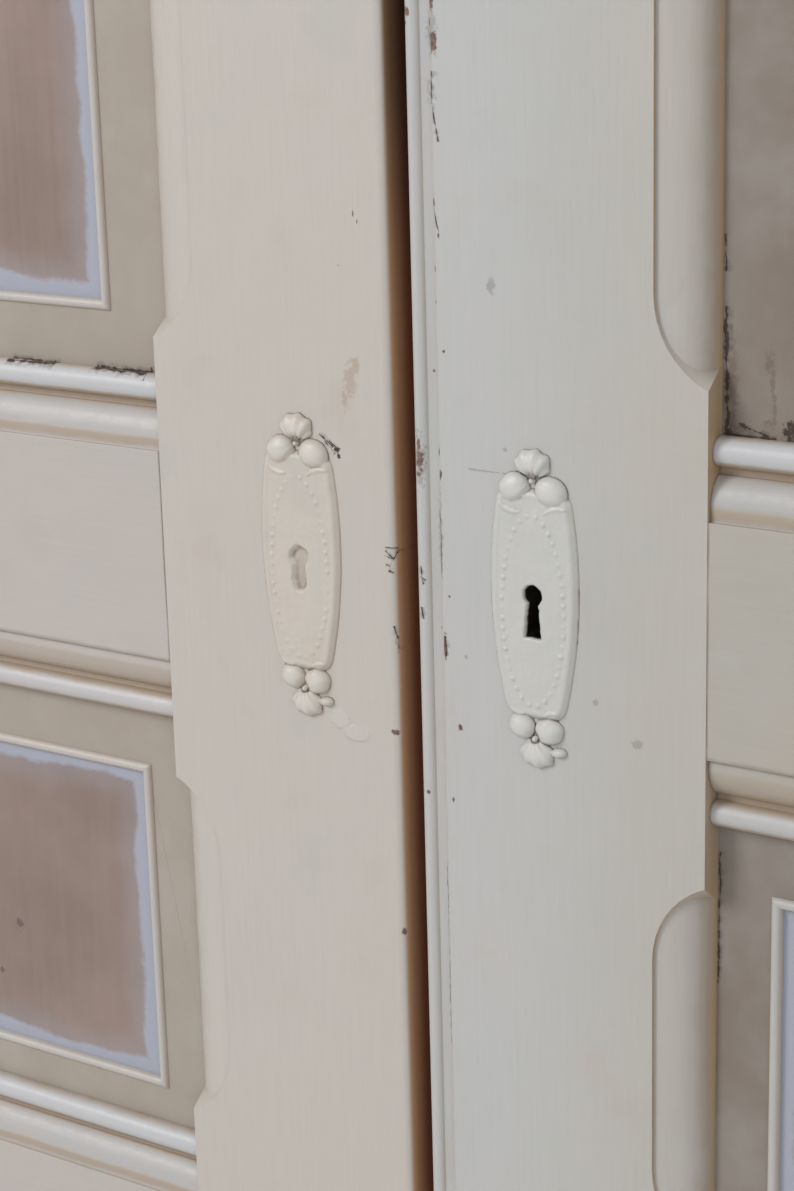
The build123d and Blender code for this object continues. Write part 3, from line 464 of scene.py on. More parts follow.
# %% The painted wood
UPRIGHT = (620.0, 620.0, 24.0)
LEVEL = (24.0, 620.0, 620.0)
KEY_HEIGHT = 1020.0
KEYHOLE = ((62.0, 1019.0, 9.0, 16.0, 0.0),)
LEAF_THICKNESS = 44 * MM


def painted(name, tint, hollow, stroke, hollow_span=(0.0015, 0.013), slope_dirt_and_shade=0.5, thick=22 * MM,
            side_dirt_and_shade=0.0, relief=0.0009, drift=None, joints=(), lumps=(), creases=0.0, slit=None,
            keyhole=False, stains=(), stain=STAIN, chips=(), cracks=(), scars=()):
    """A paint material. Thick is half the piece's depth, and drift another tint further right.
    Chips show primer, cracks and scars show what is dark behind the paint, and stains are faint."""
    material, tree, shader, place = new_material(name)
    axes = parts_of(tree, place)
    if drift:
        tint = blend(tree, ramp(tree, axes["X"], drift[0], drift[1]), tint, drift[2])
    paint = use(tree, brushed_paint, Place=place, Tint=tint, Hollow=hollow, Stroke=stroke,
                Hollow_Start=hollow_span[0], Hollow_End=hollow_span[1], Slope_Dirt=slope_dirt_and_shade,
                Half_Thickness=thick, Side_Dirt=side_dirt_and_shade)
    colour = paint["Color"]
    height = paint["Height"]
    if joints:
        colour = moulding_tints(tree, place, colour, joints)
    if lumps:
        # A paint lump is raised in the bump and lightened with a painted highlight.
        mask = sums(tree, "POWER", gather(tree, place, lumps, ()), 2.0)
        colour = blend(tree, times(tree, mask, 0.16), colour, PALE_HIGHLIGHT)
        height = sums(tree, "MULTIPLY_ADD", mask, 0.4, height)
    if creases:
        colour = crease_tints(tree, place, colour, creases)
    if slit:
        colour = slit_tints(tree, place, colour, slit)
    if keyhole:
        # The keyhole's walls are painted near black: painted shade inside the hole.
        mask = gather(tree, place, KEYHOLE, (), LEAF_THICKNESS)
        inside = ramp(tree, axes["Y"], -0.4 * MM, 0.9 * MM)
        colour = blend(tree, times(tree, mask, inside), colour, NEAR_BLACK)
    if stains:
        colour = blend(tree, times(tree, gather(tree, place, stains, ()), 0.42), colour, stain)
    if chips:
        mask = gather(tree, place, chips, ())
        worn = ramp(tree, noise(tree, place, 320.0, 2.0, 0.6), 0.42, 0.62)
        colour = blend(tree, mask, colour, blend(tree, worn, PRIMER, PRIMER_DARK))
    if cracks or scars:
        colour = blend(tree, gather(tree, place, scars, cracks), colour, BARE_DARK)
    set_input(tree, shader["Base Color"], colour)
    set_input(tree, shader["Roughness"], paint["Roughness"])
    set_input(tree, shader["Normal"], bump(tree, height, relief))
    set_input(tree, shader["Specular IOR Level"], 0.4)
    return material


print("brush strokes per metre:", UPRIGHT)

# %% [markdown]
# The marks of age, in millimetres: across from the slit's middle, and up from the floor. The
# photograph shows each of them. The right leaf's edge has lost paint down to a red primer, a
# few hairlines run along it, and the left leaf has a scribble of small cracks by the slit.

# %% The marks on the leaves
EDGE_CHIPS = (
    (19.0, 1254.0, 1.1, 2.6, 0.8), (19.6, 1240.0, 1.7, 4.2, 0.9), (17.6, 1247.0, 0.8, 1.4, 0.8),
    (7.4, 1251.0, 1.2, 1.8, 0.9), (6.4, 1246.6, 0.6, 0.6, 0.6), (6.0, 1185.5, 0.5, 1.9, 0.6),
    (18.2, 1178.8, 0.9, 1.7, 0.7), (20.4, 1166.0, 0.5, 0.9, 0.7), (18.0, 1153.0, 0.6, 1.1, 0.7),
    (18.2, 1140.0, 0.5, 0.6, 0.6), (21.7, 1120.6, 0.7, 0.7, 0.6), (15.4, 1112.0, 0.6, 0.6, 0.6),
    (8.6, 1081.5, 0.9, 2.2, 0.9), (8.9, 1075.2, 1.5, 3.6, 1.0), (8.4, 1069.6, 0.9, 1.1, 0.9),
    (18.0, 1079.6, 0.6, 1.9, 0.8), (18.6, 1070.4, 0.9, 2.2, 0.9), (19.4, 999.4, 0.9, 4.6, 1.0),
    (16.6, 1006.0, 0.4, 0.6, 0.5), (26.1, 965.3, 0.9, 1.4, 0.8), (9.4, 934.0, 0.7, 0.9, 0.8),
    (21.9, 933.2, 0.6, 1.1, 0.8), (22.0, 1020.4, 0.5, 0.6, 0.5),
)
RIGHT_STAINS = (
    (89.1, 986.3, 1.3, 1.3, 0.9), (107.8, 972.1, 2.4, 1.8, 1.1), (37.0, 1074.4, 11.0, 0.4, 1.0),
    (49.5, 1084.0, 1.2, 0.7, 0.9), (44.0, 1148.0, 1.6, 3.0, 1.0),
)
EDGE_STAINS = (
    (29.4, 996.0, 0.8, 0.8, 0.5), (18.6, 1243.0, 2.8, 8.0, 1.1), (8.6, 1076.0, 2.6, 9.0, 1.2),
    (17.8, 1044.0, 1.4, 14.0, 1.3),
)
EDGE_CRACKS = (
    (18.3, 1229.0, 18.5, 1216.0, 0.6, 1.2), (18.6, 1216.0, 21.4, 1202.0, 0.28, 1.6),
    (18.4, 1177.0, 20.6, 1166.0, 0.22, 1.2), (17.2, 1060.0, 18.2, 1029.0, 0.22, 3.4),
    (17.6, 1052.0, 18.9, 1036.0, 0.2, 3.0), (8.2, 1031.6, 9.3, 1023.6, 0.3, 1.6),
    (7.6, 1027.0, 10.6, 1025.6, 0.22, 1.0), (8.0, 1014.0, 9.0, 1009.0, 0.35, 1.8),
    (76.0, 892.0, 76.4, 884.0, 0.25, 1.0),
    (17.0, 905.0, 17.4, 820.0, 0.16, 1.6), (19.9, 1003.6, 19.7, 995.0, 0.4, 1.6),
)
LEFT_CRACKS = (
    (-8.9, 1037.2, -3.4, 1037.0, 0.18, 0.5), (-8.6, 1036.0, -5.2, 1032.6, 0.24, 0.8),
    (-5.2, 1032.6, -3.3, 1036.4, 0.22, 0.7), (-9.2, 1033.8, -4.8, 1032.4, 0.2, 0.9),
    (-8.6, 1030.0, -6.4, 1029.2, 0.3, 1.2), (-7.4, 1027.4, -5.2, 1026.4, 0.3, 1.2),
    (-5.8, 1004.0, -4.2, 998.0, 0.3, 1.0), (-4.2, 998.0, -4.4, 992.0, 0.26, 0.8),
    (-39.9, 1081.6, -33.0, 1076.6, 0.34, 1.6), (-38.4, 1080.2, -31.6, 1073.8, 0.3, 1.9),
    (-35.0, 1079.0, -30.6, 1076.0, 0.24, 1.6),
)
LEFT_SCARS = ((-31.6, 1075.6, 1.9, 1.7, 1.3), (-30.2, 1072.8, 0.8, 1.2, 1.2))
LEFT_CHIPS = (
    (-19.6, 1172.8, 0.4, 1.4, 0.7), (-17.8, 1169.5, 0.3, 1.0, 0.7),
    (-6.4, 957.6, 1.4, 1.1, 0.9), (-5.0, 868.0, 0.8, 1.2, 0.8),
)
LEFT_STAINS = (
    (-23.6, 1104.6, 2.6, 6.5, 1.2), (-20.6, 1111.4, 1.8, 3.4, 1.1), (-26.0, 1096.6, 1.6, 3.6, 1.2),
)
LEFT_LUMPS = ((-34.0, 959.0, 5.6, 4.4, 0.25), (-26.0, 954.0, 7.4, 3.6, 0.25))
LEFT_SEAM = (
    (-214.5, 1096.4, -186.3, 1096.6, 0.4, 1.0), (-205.5, 1096.8, -188.0, 1097.2, 0.2, 1.2),
    (-166.3, 1097.0, -134.4, 1096.6, 0.45, 1.3), (-135.4, 1099.0, -134.6, 1094.0, 0.4, 1.2),
)
RIGHT_ROT_CRACKS = (
    (138.0, 1166.0, 138.6, 1158.0, 0.5, 1.8), (138.6, 1146.0, 139.6, 1098.0, 0.75, 2.6),
    (144.0, 1102.0, 157.0, 1096.8, 0.6, 2.8), (138.4, 930.0, 137.8, 872.0, 0.4, 1.8),
    (138.2, 1255.0, 138.0, 1166.0, 0.22, 2.0), (140.0, 1097.2, 160.0, 1096.8, 0.35, 1.6),
)
RIGHT_ROT = (
    (139.8, 1098.2, 1.8, 2.2, 1.3), (165.4, 1100.2, 3.0, 3.4, 1.0), (172.4, 1100.0, 6.0, 4.0, 0.9),
)
RIGHT_PEELING = (
    (157.8, 1118.0, 1.0, 8.6, 1.2), (158.8, 1107.0, 0.9, 6.0, 1.1), (156.0, 1126.0, 1.4, 3.6, 1.1),
    (156.0, 1103.0, 2.4, 1.2, 1.2), (141.4, 1112.0, 2.0, 22.0, 1.0),
)

print("marks on the right leaf's edge:", len(EDGE_CHIPS) + len(EDGE_STAINS) + len(EDGE_CRACKS))

# %% All the paints of the object
DRIFT = (30 * MM, 125 * MM, srgb(184, 181, 175))
LEFT_JOINTS = (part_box("left_meeting_stile")[0].x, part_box("left_hinge_stile")[1].x)
RIGHT_JOINTS = (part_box("right_meeting_stile")[1].x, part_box("right_hinge_stile")[0].x)
WARM_WOOD = dict(tint=WARM, hollow=WARM_HOLLOW, stroke=UPRIGHT)
COOL_WOOD = dict(tint=COOL, hollow=COOL_HOLLOW, stroke=UPRIGHT, hollow_span=(0.0008, 0.009))
RIGHT_BOARD = dict(tint=COOL, hollow=BOARD_HOLLOW, stroke=UPRIGHT)
RAIL = dict(stroke=LEVEL, hollow_span=(0.004, 0.013), slope_dirt_and_shade=0.9)
FRAME = dict(hollow=WARM_HOLLOW, hollow_span=(0.05, 0.4), thick=60 * MM)
BEAD = dict(stroke=UPRIGHT, hollow_span=(0.012, 0.02))
PLATE = dict(stroke=(300.0, 300.0, 60.0), hollow_span=(-0.0010, 0.0003), slope_dirt_and_shade=0.12, thick=0.5,
             relief=0.0005)
LOOKS = {
    "left_stile": dict(WARM_WOOD, side_dirt_and_shade=0.6),
    "left_edge": dict(WARM_WOOD, chips=LEFT_CHIPS, cracks=LEFT_CRACKS, scars=LEFT_SCARS,
                      stains=LEFT_STAINS, lumps=LEFT_LUMPS, slit=4.5 * MM),
    "left_rail": dict(RAIL, tint=srgb(187, 181, 177), hollow=WARM_HOLLOW, cracks=LEFT_SEAM,
                      joints=LEFT_JOINTS),
    "left_board": dict(WARM_WOOD, cracks=LEFT_SEAM),
    "right_stile": dict(COOL_WOOD, side_dirt_and_shade=0.8, keyhole=True, stains=RIGHT_STAINS, stain=GREY_STAIN,
                        drift=DRIFT),
    "right_edge": dict(COOL_WOOD, chips=EDGE_CHIPS, cracks=EDGE_CRACKS, stains=EDGE_STAINS,
                       stain=GREY_STAIN, slit=5.2 * MM, drift=DRIFT),
    "right_rail": dict(RAIL, tint=srgb(175, 171, 164), hollow=COOL_HOLLOW, joints=RIGHT_JOINTS),
    "right_board": RIGHT_BOARD,
    "right_board_corner": dict(RIGHT_BOARD, cracks=RIGHT_ROT_CRACKS, scars=RIGHT_ROT,
                               stains=RIGHT_PEELING, stain=PEELED),
    "frame_upright": dict(FRAME, tint=srgb(190, 183, 176), stroke=UPRIGHT),
    "frame_level": dict(FRAME, tint=srgb(189, 182, 175), stroke=LEVEL),
    "left_plate": dict(PLATE, tint=srgb(200, 193, 184), hollow=srgb(158, 144, 128), creases=0.55),
    "right_plate": dict(PLATE, tint=srgb(197, 197, 194), hollow=srgb(158, 151, 141), creases=0.5,
                        keyhole=True),
    "left_bead": dict(BEAD, tint=srgb(190, 185, 181), hollow=WARM_HOLLOW),
    "right_bead": dict(BEAD, tint=srgb(184, 183, 181), hollow=COOL_HOLLOW),
}
paints = {key: painted(key + "_paint", **look) for key, look in LOOKS.items()}
print("paints:", len(paints))

# %% [markdown]
# The wood itself. Sharp edges don't survive ten coats of paint: every corner is rounded by
# about a millimetre, and where two pieces meet, the two roundings make the fine groove that
# the photograph shows between stile and rail. A copy of each wooden node gets this from a
# Bevel modifier. Its mesh is first merged and its flat faces joined, so that the bevel runs
# along real edges only. The chips and cracks lie close together in a few places, so the meeting
# edges and one board corner have a material of their own, and every other face stays light.

# %% A joined copy of a node's mesh
WELD = 0.000002
FLAT = math.radians(1.0)


def joined_copy(node):
    """The node's mesh with its corners joined, solid by solid, and its flat faces in one piece.
    The triangles come one solid after another, and a solid is full once every edge is shared."""
    source = frame["nodes"][node].data
    places, faces, known, unshared = [], [], {}, set()
    solid = 0
    for face in source.polygons:
        ring = []
        for v in face.vertices:
            key = (solid, *(round(share / WELD) for share in source.vertices[v].co))
            if key not in known:
                known[key] = len(places)
                places.append(source.vertices[v].co)
            ring.append(known[key])
        if len(set(ring)) == len(ring):
            faces.append(ring)
        for start, end in zip(ring, ring[1:] + ring[:1]):
            if start != end:
                unshared ^= {(min(start, end), max(start, end))}
        if not unshared:
            solid += 1
    mesh = bpy.data.meshes.new("joined_" + node)
    mesh.from_pydata(places, [], faces)
    work = bmesh.new()
    work.from_mesh(mesh)
    bmesh.ops.dissolve_limit(work, angle_limit=FLAT, verts=work.verts, edges=work.edges)
    bmesh.ops.recalc_face_normals(work, faces=work.faces)
    work.to_mesh(mesh)
    work.free()
    return mesh


def placed(name, mesh):
    """An object at the origin. Its mesh carries its place."""
    piece = bpy.data.objects.new(name, mesh)
    bpy.context.collection.objects.link(piece)
    return piece


def stand_for(piece, node):
    """The finished piece rides with its node's body and takes the node's place."""
    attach(piece, body_of[node])
    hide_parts(node)
    return piece


print("corners closer than", WELD / MM, "mm count as one")

# %% A painted copy of a wooden node
PAINT_ROUNDING = 0.7 * MM
METAL_ROUNDING = 0.35 * MM
ROUNDING_STEPS = 3
SHARP = math.radians(32)
FAR = 10.0


def mark_zone(mesh, corner, reach):
    """Cuts the mesh along the zone's planes, and gives the faces inside the second material."""
    work = bmesh.new()
    work.from_mesh(mesh)
    for place, way in (((corner[0], 0, 0), (1, 0, 0)), ((reach[0], 0, 0), (1, 0, 0)),
                       ((0, 0, corner[1]), (0, 0, 1)), ((0, 0, reach[1]), (0, 0, 1))):
        parts = [*work.verts, *work.edges, *work.faces]
        bmesh.ops.bisect_plane(work, geom=parts, plane_co=place, plane_no=way)
    for face in work.faces:
        middle = face.calc_center_median()
        inside = corner[0] < middle.x < reach[0] and corner[1] < middle.z < reach[1]
        face.material_index = 1 if inside else 0
    work.to_mesh(mesh)
    work.free()


def mark_ends(mesh, node):
    """Stores how far each point is from a rail's upper and lower moulded edge. The top and the
    bottom rail have only one, and the other counts as far away."""
    low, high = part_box(node)
    lower = low.z - FAR if node.endswith("bottom_rail") else low.z
    upper = high.z + FAR if node.endswith("top_rail") else high.z
    places = []
    for v in mesh.vertices:
        places += [upper - v.co.z, 0.0, v.co.z - lower]
    mesh.attributes.new("from_ends", "FLOAT_VECTOR", "POINT").data.foreach_set("vector", places)


def rounded(node, material, rounding=PAINT_ROUNDING, zone=None):
    """A copy of a node with softened edges, which then stands for that node."""
    mesh = joined_copy(node)
    mesh.materials.append(material)
    if zone:
        mesh.materials.append(paints[zone[0]])
        mark_zone(mesh, *zone[1:])
    if node.endswith("_rail"):
        mark_ends(mesh, node)
    for face in mesh.polygons:
        face.use_smooth = True
    piece = placed("finished_" + node, mesh)
    bevel = piece.modifiers.new("rounding", "BEVEL")
    bevel.limit_method = "ANGLE"
    bevel.angle_limit = SHARP
    bevel.width = rounding
    bevel.segments = ROUNDING_STEPS
    bevel.harden_normals = True
    bevel.miter_outer = "MITER_ARC"
    return stand_for(piece, node)


print("rounding of painted corners:", round(PAINT_ROUNDING / MM, 2), "mm")

# %% Dress every wooden piece
def wood_paint(node):
    """The paint of a wooden node: by leaf, by kind of piece and by the way of its grain."""
    if node.startswith("frame"):
        return paints["frame_level" if node in ("frame_head", "frame_threshold") else "frame_upright"]
    side = "left" if slot_of[node] == "left_leaf_paint" else "right"
    if node.endswith("_beads"):
        return paints[side + "_bead"]
    if node.endswith("_rail"):
        return paints[side + "_rail"]
    if node.endswith("_stile"):
        return paints[side + "_stile"]
    return paints[side + "_board"]


WOOD_SLOTS = ("left_leaf_paint", "right_leaf_paint", "frame_paint")
wooden = [node for node in sorted(slot_of) if slot_of[node] in WOOD_SLOTS and not node.endswith("screws")]
BOARD_CORNER = ("right_board_corner", (0.100, 0.0), (0.184, 1.172))
ZONES = {
    "left_meeting_stile": ("left_edge", (-0.043, 0.0), (0.010, 2.2)),
    "right_meeting_stile": ("right_edge", (0.0, 0.0), (0.032, 2.2)),
    "right_upper_panel": BOARD_CORNER,
    "right_middle_panel": BOARD_CORNER,
}
for node in wooden:
    rounded(node, wood_paint(node), zone=ZONES.get(node))
print("wooden pieces:", len(wooden))

# %% [markdown]
# The keyhole plates are the heart of the picture. Each is thin stamped metal: a barrel-shaped
# body with a slight crown, an oval of small beads round the keyhole, a flower of three lobes at
# each end, and little curled leaves. Many coats of paint have filled its corners. Such a soft
# relief is easiest to describe as a height over the door's face for every point of a fine grid:
# each form adds its own smooth hill, and the higher one wins. The grid is trimmed where the
# relief sinks into the door, cut along the keyhole and closed behind, so it is one solid shell.

# %% The sizes of a plate, in millimetres from the middle of its keyhole
# The half widths are given at three heights. A petal is its flower, then its place, half sizes
# and tilt, then its rise and how scalloped it is. A leaf runs from one point to another.
PLATE_STEP = 0.38
PLATE_THICK = 2.0
PLATE_HALF_WIDTHS = {-44.0: 12.2, 0.0: 19.0, 49.0: 15.6}
PLATE_CROWN = 0.5
PLATE_ROUNDING = 1.5
SHOULDER = 5.0
PAINT_SKIRT = 0.9
SUNK_EDGE = 0.05
BACK_DEPTH = 0.3
KEY_HEAD_UP = 6.7
KEY_HEAD_RADIUS = 4.3
KEY_NECK_HALF = 2.1
KEY_FOOT_HALF = 4.0
KEY_FOOT_DOWN = -11.0
KEY_UNEVEN = 0.35
BLIND_DEPTH = 2.1
BLIND_HEAD_UP = 4.6
BLIND_HEAD_RADIUS = 4.9
BLIND_FOOT_HALF = 3.1
BLIND_FOOT_DOWN = -7.4
UPPER_FLOWER = (0.0, 53.2)
LOWER_FLOWER = (0.2, -53.0)
LOBES = (
    (UPPER_FLOWER, (0.0, 60.0, 7.9, 5.6, 0), 3.9, 1.0),
    (UPPER_FLOWER, (-8.4, 49.8, 7.2, 5.9, 20), 4.2, 0.3),
    (UPPER_FLOWER, (8.2, 49.4, 7.4, 6.1, -16), 4.2, 0.3),
    (LOWER_FLOWER, (-6.0, -48.6, 6.3, 5.4, -14), 3.8, 0.3),
    (LOWER_FLOWER, (6.2, -49.2, 6.6, 5.7, 16), 3.8, 0.4),
    (LOWER_FLOWER, (0.6, -59.4, 7.8, 5.9, -6), 3.9, 0.9),
    (LOWER_FLOWER, (10.6, -57.6, 3.6, 2.1, 8), 2.6, 0.0),
)
LEAVES = (
    (-15.6, 43.4, -5.0, 40.2), (15.6, 43.0, 5.0, 40.0), (-11.6, -41.0, -4.0, -42.6),
    (11.8, -41.4, 4.4, -43.0),
)
LEAF_HALF = 1.5
LEAF_RISE = 0.55
LEAF_CURL = 1.3
RIBS_ROUND = 13
RIB_RISE = 0.22
SCALLOP = 0.12
PETAL_REACH = 1.9
EYE_PIT = 1.3
EYE_PIT_UP = 1.2
EYE_PIT_WIDTHS = (2.6, 2.2)
FLOWER_EYE = 1.2
EYE_RISE = 1.9
EYE_DOME = 0.8
RIM_INSET = 2.2
RIM_RISE = 0.22
RIM_WIDTH = 0.8
CROWN_REACH = 16
PETAL_FILLET = 0.45
EYE_FILLET = 0.3
PAINT_LIP = 0.9
LIP_DROP = 0.55
BLIND_SLOPE = 2.6
LARGE_LUMPS = (0.16, 0.2)
SMALL_LUMPS = (0.55, 0.1)
UNDER_DOOR = -0.4
GRID_ASIDE = 2.5
GRID_BEYOND = 15
print("petals:", len(LOBES), "leaves:", len(LEAVES))


# %% The height of a plate over the door's face
def circle_through(points):
    """The circle through three (height, half width) points, as the middle and the radius."""
    (a, p), (b, q), (c, r) = points
    slope = 2 * (a * (q - r) - p * (b - c) + b * r - c * q)
    up = ((a * a + p * p) * (q - r) + (b * b + q * q) * (r - p) + (c * c + r * r) * (p - q)) / slope
    across = ((a * a + p * p) * (c - b) + (b * b + q * q) * (a - c) + (c * c + r * r) * (b - a)) / slope
    return up, across, math.hypot(a - up, p - across)


BARREL = circle_through(sorted(PLATE_HALF_WIDTHS.items()))
PLATE_LOW, PLATE_HIGH = min(PLATE_HALF_WIDTHS), max(PLATE_HALF_WIDTHS)


def soft_step(value):
    """A smooth step from 0 to 1."""
    share = min(1.0, max(0.0, value))
    return share * share * (3 - 2 * share)


def soft_max(first, second, width):
    """The larger of two heights, with the crease between them filled by paint."""
    share = min(1.0, max(0.0, 0.5 + 0.5 * (first - second) / width))
    return second + (first - second) * share + width * share * (1 - share)


def inside_plate(u, w):
    """How far a point lies inside the body's edge."""
    up, across, radius = BARREL
    half = across + math.sqrt(max(0.0, radius * radius - (w - up) ** 2))
    side = half - abs(u)
    end = min(PLATE_HIGH - w, w - PLATE_LOW)
    if side < SHOULDER and end < SHOULDER:
        return SHOULDER - math.hypot(SHOULDER - side, SHOULDER - end)
    return min(side, end)


def inside_key(u, w):
    """How far a point lies inside the keyhole's edge, which old paint has made a little uneven."""
    head = KEY_HEAD_RADIUS - math.hypot(u, w - KEY_HEAD_UP)
    run = KEY_HEAD_UP - KEY_FOOT_DOWN
    widening = (KEY_FOOT_HALF - KEY_NECK_HALF) / run
    side = (KEY_NECK_HALF + widening * (KEY_HEAD_UP - w) - abs(u)) / math.hypot(1, widening)
    uneven = KEY_UNEVEN * waves(Vector((u, w, 4.0)) * 0.6)
    return max(head, min(side, w - KEY_FOOT_DOWN, KEY_HEAD_UP - w)) + uneven


def inside_blind_key(u, w):
    """The same for the hole that paint has filled: a round head and a short foot with no corners."""
    head = BLIND_HEAD_RADIUS - math.hypot(u, w - BLIND_HEAD_UP)
    low = min(max(w, BLIND_FOOT_DOWN), BLIND_HEAD_UP)
    foot = BLIND_FOOT_HALF - math.hypot(u, w - low)
    return soft_max(head, foot, 0.8) + 2 * KEY_UNEVEN * waves(Vector((u, w, 8.0)) * 0.3)


def lobe_height(u, w, flower, shape, rise, scalloped):
    """One petal: a dome with shallow ribs that run from the flower's eye."""
    middle_u, middle_w, half_long, half_short, tilt = shape
    turn = math.radians(tilt)
    along = (u - middle_u) * math.cos(turn) + (w - middle_w) * math.sin(turn)
    across = (w - middle_w) * math.cos(turn) - (u - middle_u) * math.sin(turn)
    angle = math.atan2(w - flower[1], u - flower[0])
    fan = scalloped * math.cos(RIBS_ROUND * angle)
    far = ((along / half_long) ** 2 + (across / half_short) ** 2) * (1 - SCALLOP * fan)
    if far > PETAL_REACH:
        return -1.0
    dome = rise * (1 - far) ** 0.5 if far < 1 else -rise * (far - 1)
    ribs = RIB_RISE * fan * soft_step(1.15 - far) * soft_step(far + 0.35)
    pit_u = (u - flower[0]) / EYE_PIT_WIDTHS[0]
    pit_w = (w - flower[1] - EYE_PIT_UP) / EYE_PIT_WIDTHS[1]
    return dome + ribs - EYE_PIT * math.exp(-(pit_u ** 2 + pit_w ** 2))


def leaf_height(u, w, leaf):
    """A small curled leaf between the flower and the beads."""
    start_u, start_w, end_u, end_w = leaf
    run_u, run_w = end_u - start_u, end_w - start_w
    length = math.hypot(run_u, run_w)
    along = ((u - start_u) * run_u + (w - start_w) * run_w) / length
    across = ((w - start_w) * run_u - (u - start_u) * run_w) / length
    across += LEAF_CURL * math.sin(math.pi * along / length)
    if not 0 < along < length:
        return 0.0
    half = LEAF_HALF * math.sin(math.pi * along / length) ** 0.6
    return LEAF_RISE * soft_step(1 - abs(across) / max(half, 0.05))


def plate_height(u, w, blind, seed):
    """The painted surface of a whole plate over the door's face."""
    edge = inside_plate(u, w)
    if edge < -PLATE_ROUNDING - 1:
        body = UNDER_DOOR
    elif edge < 0:
        body = PAINT_SKIRT * soft_step(1 + edge / PLATE_ROUNDING) ** 1.6 - SUNK_EDGE
    else:
        share = min(1.0, edge / PLATE_ROUNDING)
        body = PAINT_SKIRT - SUNK_EDGE + (PLATE_THICK - PAINT_SKIRT) * math.sin(share * math.pi / 2)
        body += PLATE_CROWN * soft_step(edge / CROWN_REACH)
        body += RIM_RISE * math.exp(-((edge - RIM_INSET) / RIM_WIDTH) ** 2)
    for leaf in LEAVES:
        body += leaf_height(u, w, leaf) if edge > 0.5 else 0.0
    for flower, shape, rise, scalloped in LOBES:
        body = soft_max(body, lobe_height(u, w, flower, shape, rise, scalloped), PETAL_FILLET)
    for flower in (UPPER_FLOWER, LOWER_FLOWER):
        eye = math.hypot(u - flower[0], w - flower[1]) / FLOWER_EYE
        if eye < 1:
            body = soft_max(body, EYE_RISE + EYE_DOME * math.sqrt(1 - eye * eye), EYE_FILLET)
    lumps = waves(Vector((u, w, seed)) * LARGE_LUMPS[0]) * LARGE_LUMPS[1]
    lumps += waves(Vector((u, w, seed + 9)) * SMALL_LUMPS[0]) * SMALL_LUMPS[1]
    if blind:
        body -= BLIND_DEPTH * soft_step((inside_blind_key(u, w) + PAINT_LIP) / BLIND_SLOPE)
    else:
        body -= LIP_DROP * soft_step((inside_key(u, w) + PAINT_LIP) / PAINT_LIP) ** 2
    return body + lumps * soft_step((edge + 2) / 3)


print("barrel radius:", round(BARREL[2], 1), "mm")


# %% One plate as a closed shell
def snap_to_key(point):
    """Moves a point to the keyhole's outline, along the steepest way."""
    u, w = point
    tiny = 0.01
    for _ in range(4):
        here = inside_key(u, w)
        slope_u = (inside_key(u + tiny, w) - here) / tiny
        slope_w = (inside_key(u, w + tiny) - here) / tiny
        square = max(slope_u ** 2 + slope_w ** 2, 0.2)
        u -= here * slope_u / square
        w -= here * slope_w / square
    return u, w


def plate_grid(blind, seed):
    """The relief on a grid, trimmed where it sinks into the door and open at a real keyhole."""
    across = math.ceil((max(PLATE_HALF_WIDTHS.values()) + GRID_ASIDE) / PLATE_STEP)
    low = math.floor((LOWER_FLOWER[1] - GRID_BEYOND) / PLATE_STEP)
    high = math.ceil((UPPER_FLOWER[1] + GRID_BEYOND) / PLATE_STEP)
    heights = {}
    for column in range(-across, across + 1):
        for row in range(low, high + 1):
            heights[column, row] = plate_height(column * PLATE_STEP, row * PLATE_STEP, blind, seed)
    shell = bmesh.new()
    grid = {}
    for (column, row), height in heights.items():
        near = [heights.get((column + i, row + j), -1.0) for i in (-1, 0, 1) for j in (-1, 0, 1)]
        if max(near) > 0:
            grid[column, row] = shell.verts.new((column * PLATE_STEP, -height, row * PLATE_STEP))
    for column, row in grid:
        corners = [grid.get((column + i, row + j)) for i, j in ((0, 0), (1, 0), (1, 1), (0, 1))]
        if None in corners:
            continue
        middle_u, middle_w = (column + 0.5) * PLATE_STEP, (row + 0.5) * PLATE_STEP
        if blind or inside_key(middle_u, middle_w) < 0:
            shell.faces.new(corners)
    bmesh.ops.delete(shell, geom=[v for v in shell.verts if not v.link_faces], context="VERTS")
    return shell


def at_keyhole(edge):
    """Whether an edge of the trimmed grid runs along the keyhole."""
    return all(abs(inside_key(v.co.x, v.co.z)) < 2 * PLATE_STEP for v in edge.verts)


def close_plate(shell, blind, seed):
    """Sinks the rim into the door, walls the keyhole and closes the back."""
    rims = [edge for edge in shell.edges if edge.is_boundary]
    key_rims = [edge for edge in rims if not blind and at_keyhole(edge)]
    for v in {v for edge in key_rims for v in edge.verts}:
        v.co.x, v.co.z = snap_to_key((v.co.x, v.co.z))
        v.co.y = -plate_height(v.co.x, v.co.z, blind, seed)
    for v in {v for edge in set(rims) - set(key_rims) for v in edge.verts}:
        v.co.y = BACK_DEPTH
    closing = [edge for edge in rims if edge not in key_rims]
    if key_rims:
        wall = bmesh.ops.extrude_edge_only(shell, edges=key_rims)["geom"]
        for v in [part for part in wall if isinstance(part, bmesh.types.BMVert)]:
            v.co.y = BACK_DEPTH
        closing += [part for part in wall if isinstance(part, bmesh.types.BMEdge) and part.is_boundary]
    for edge in closing:
        edge.smooth = False
    bmesh.ops.triangle_fill(shell, edges=closing, use_beauty=False)
    bmesh.ops.recalc_face_normals(shell, faces=shell.faces)
    if shell.calc_volume(signed=True) < 0:
        bmesh.ops.reverse_faces(shell, faces=shell.faces)


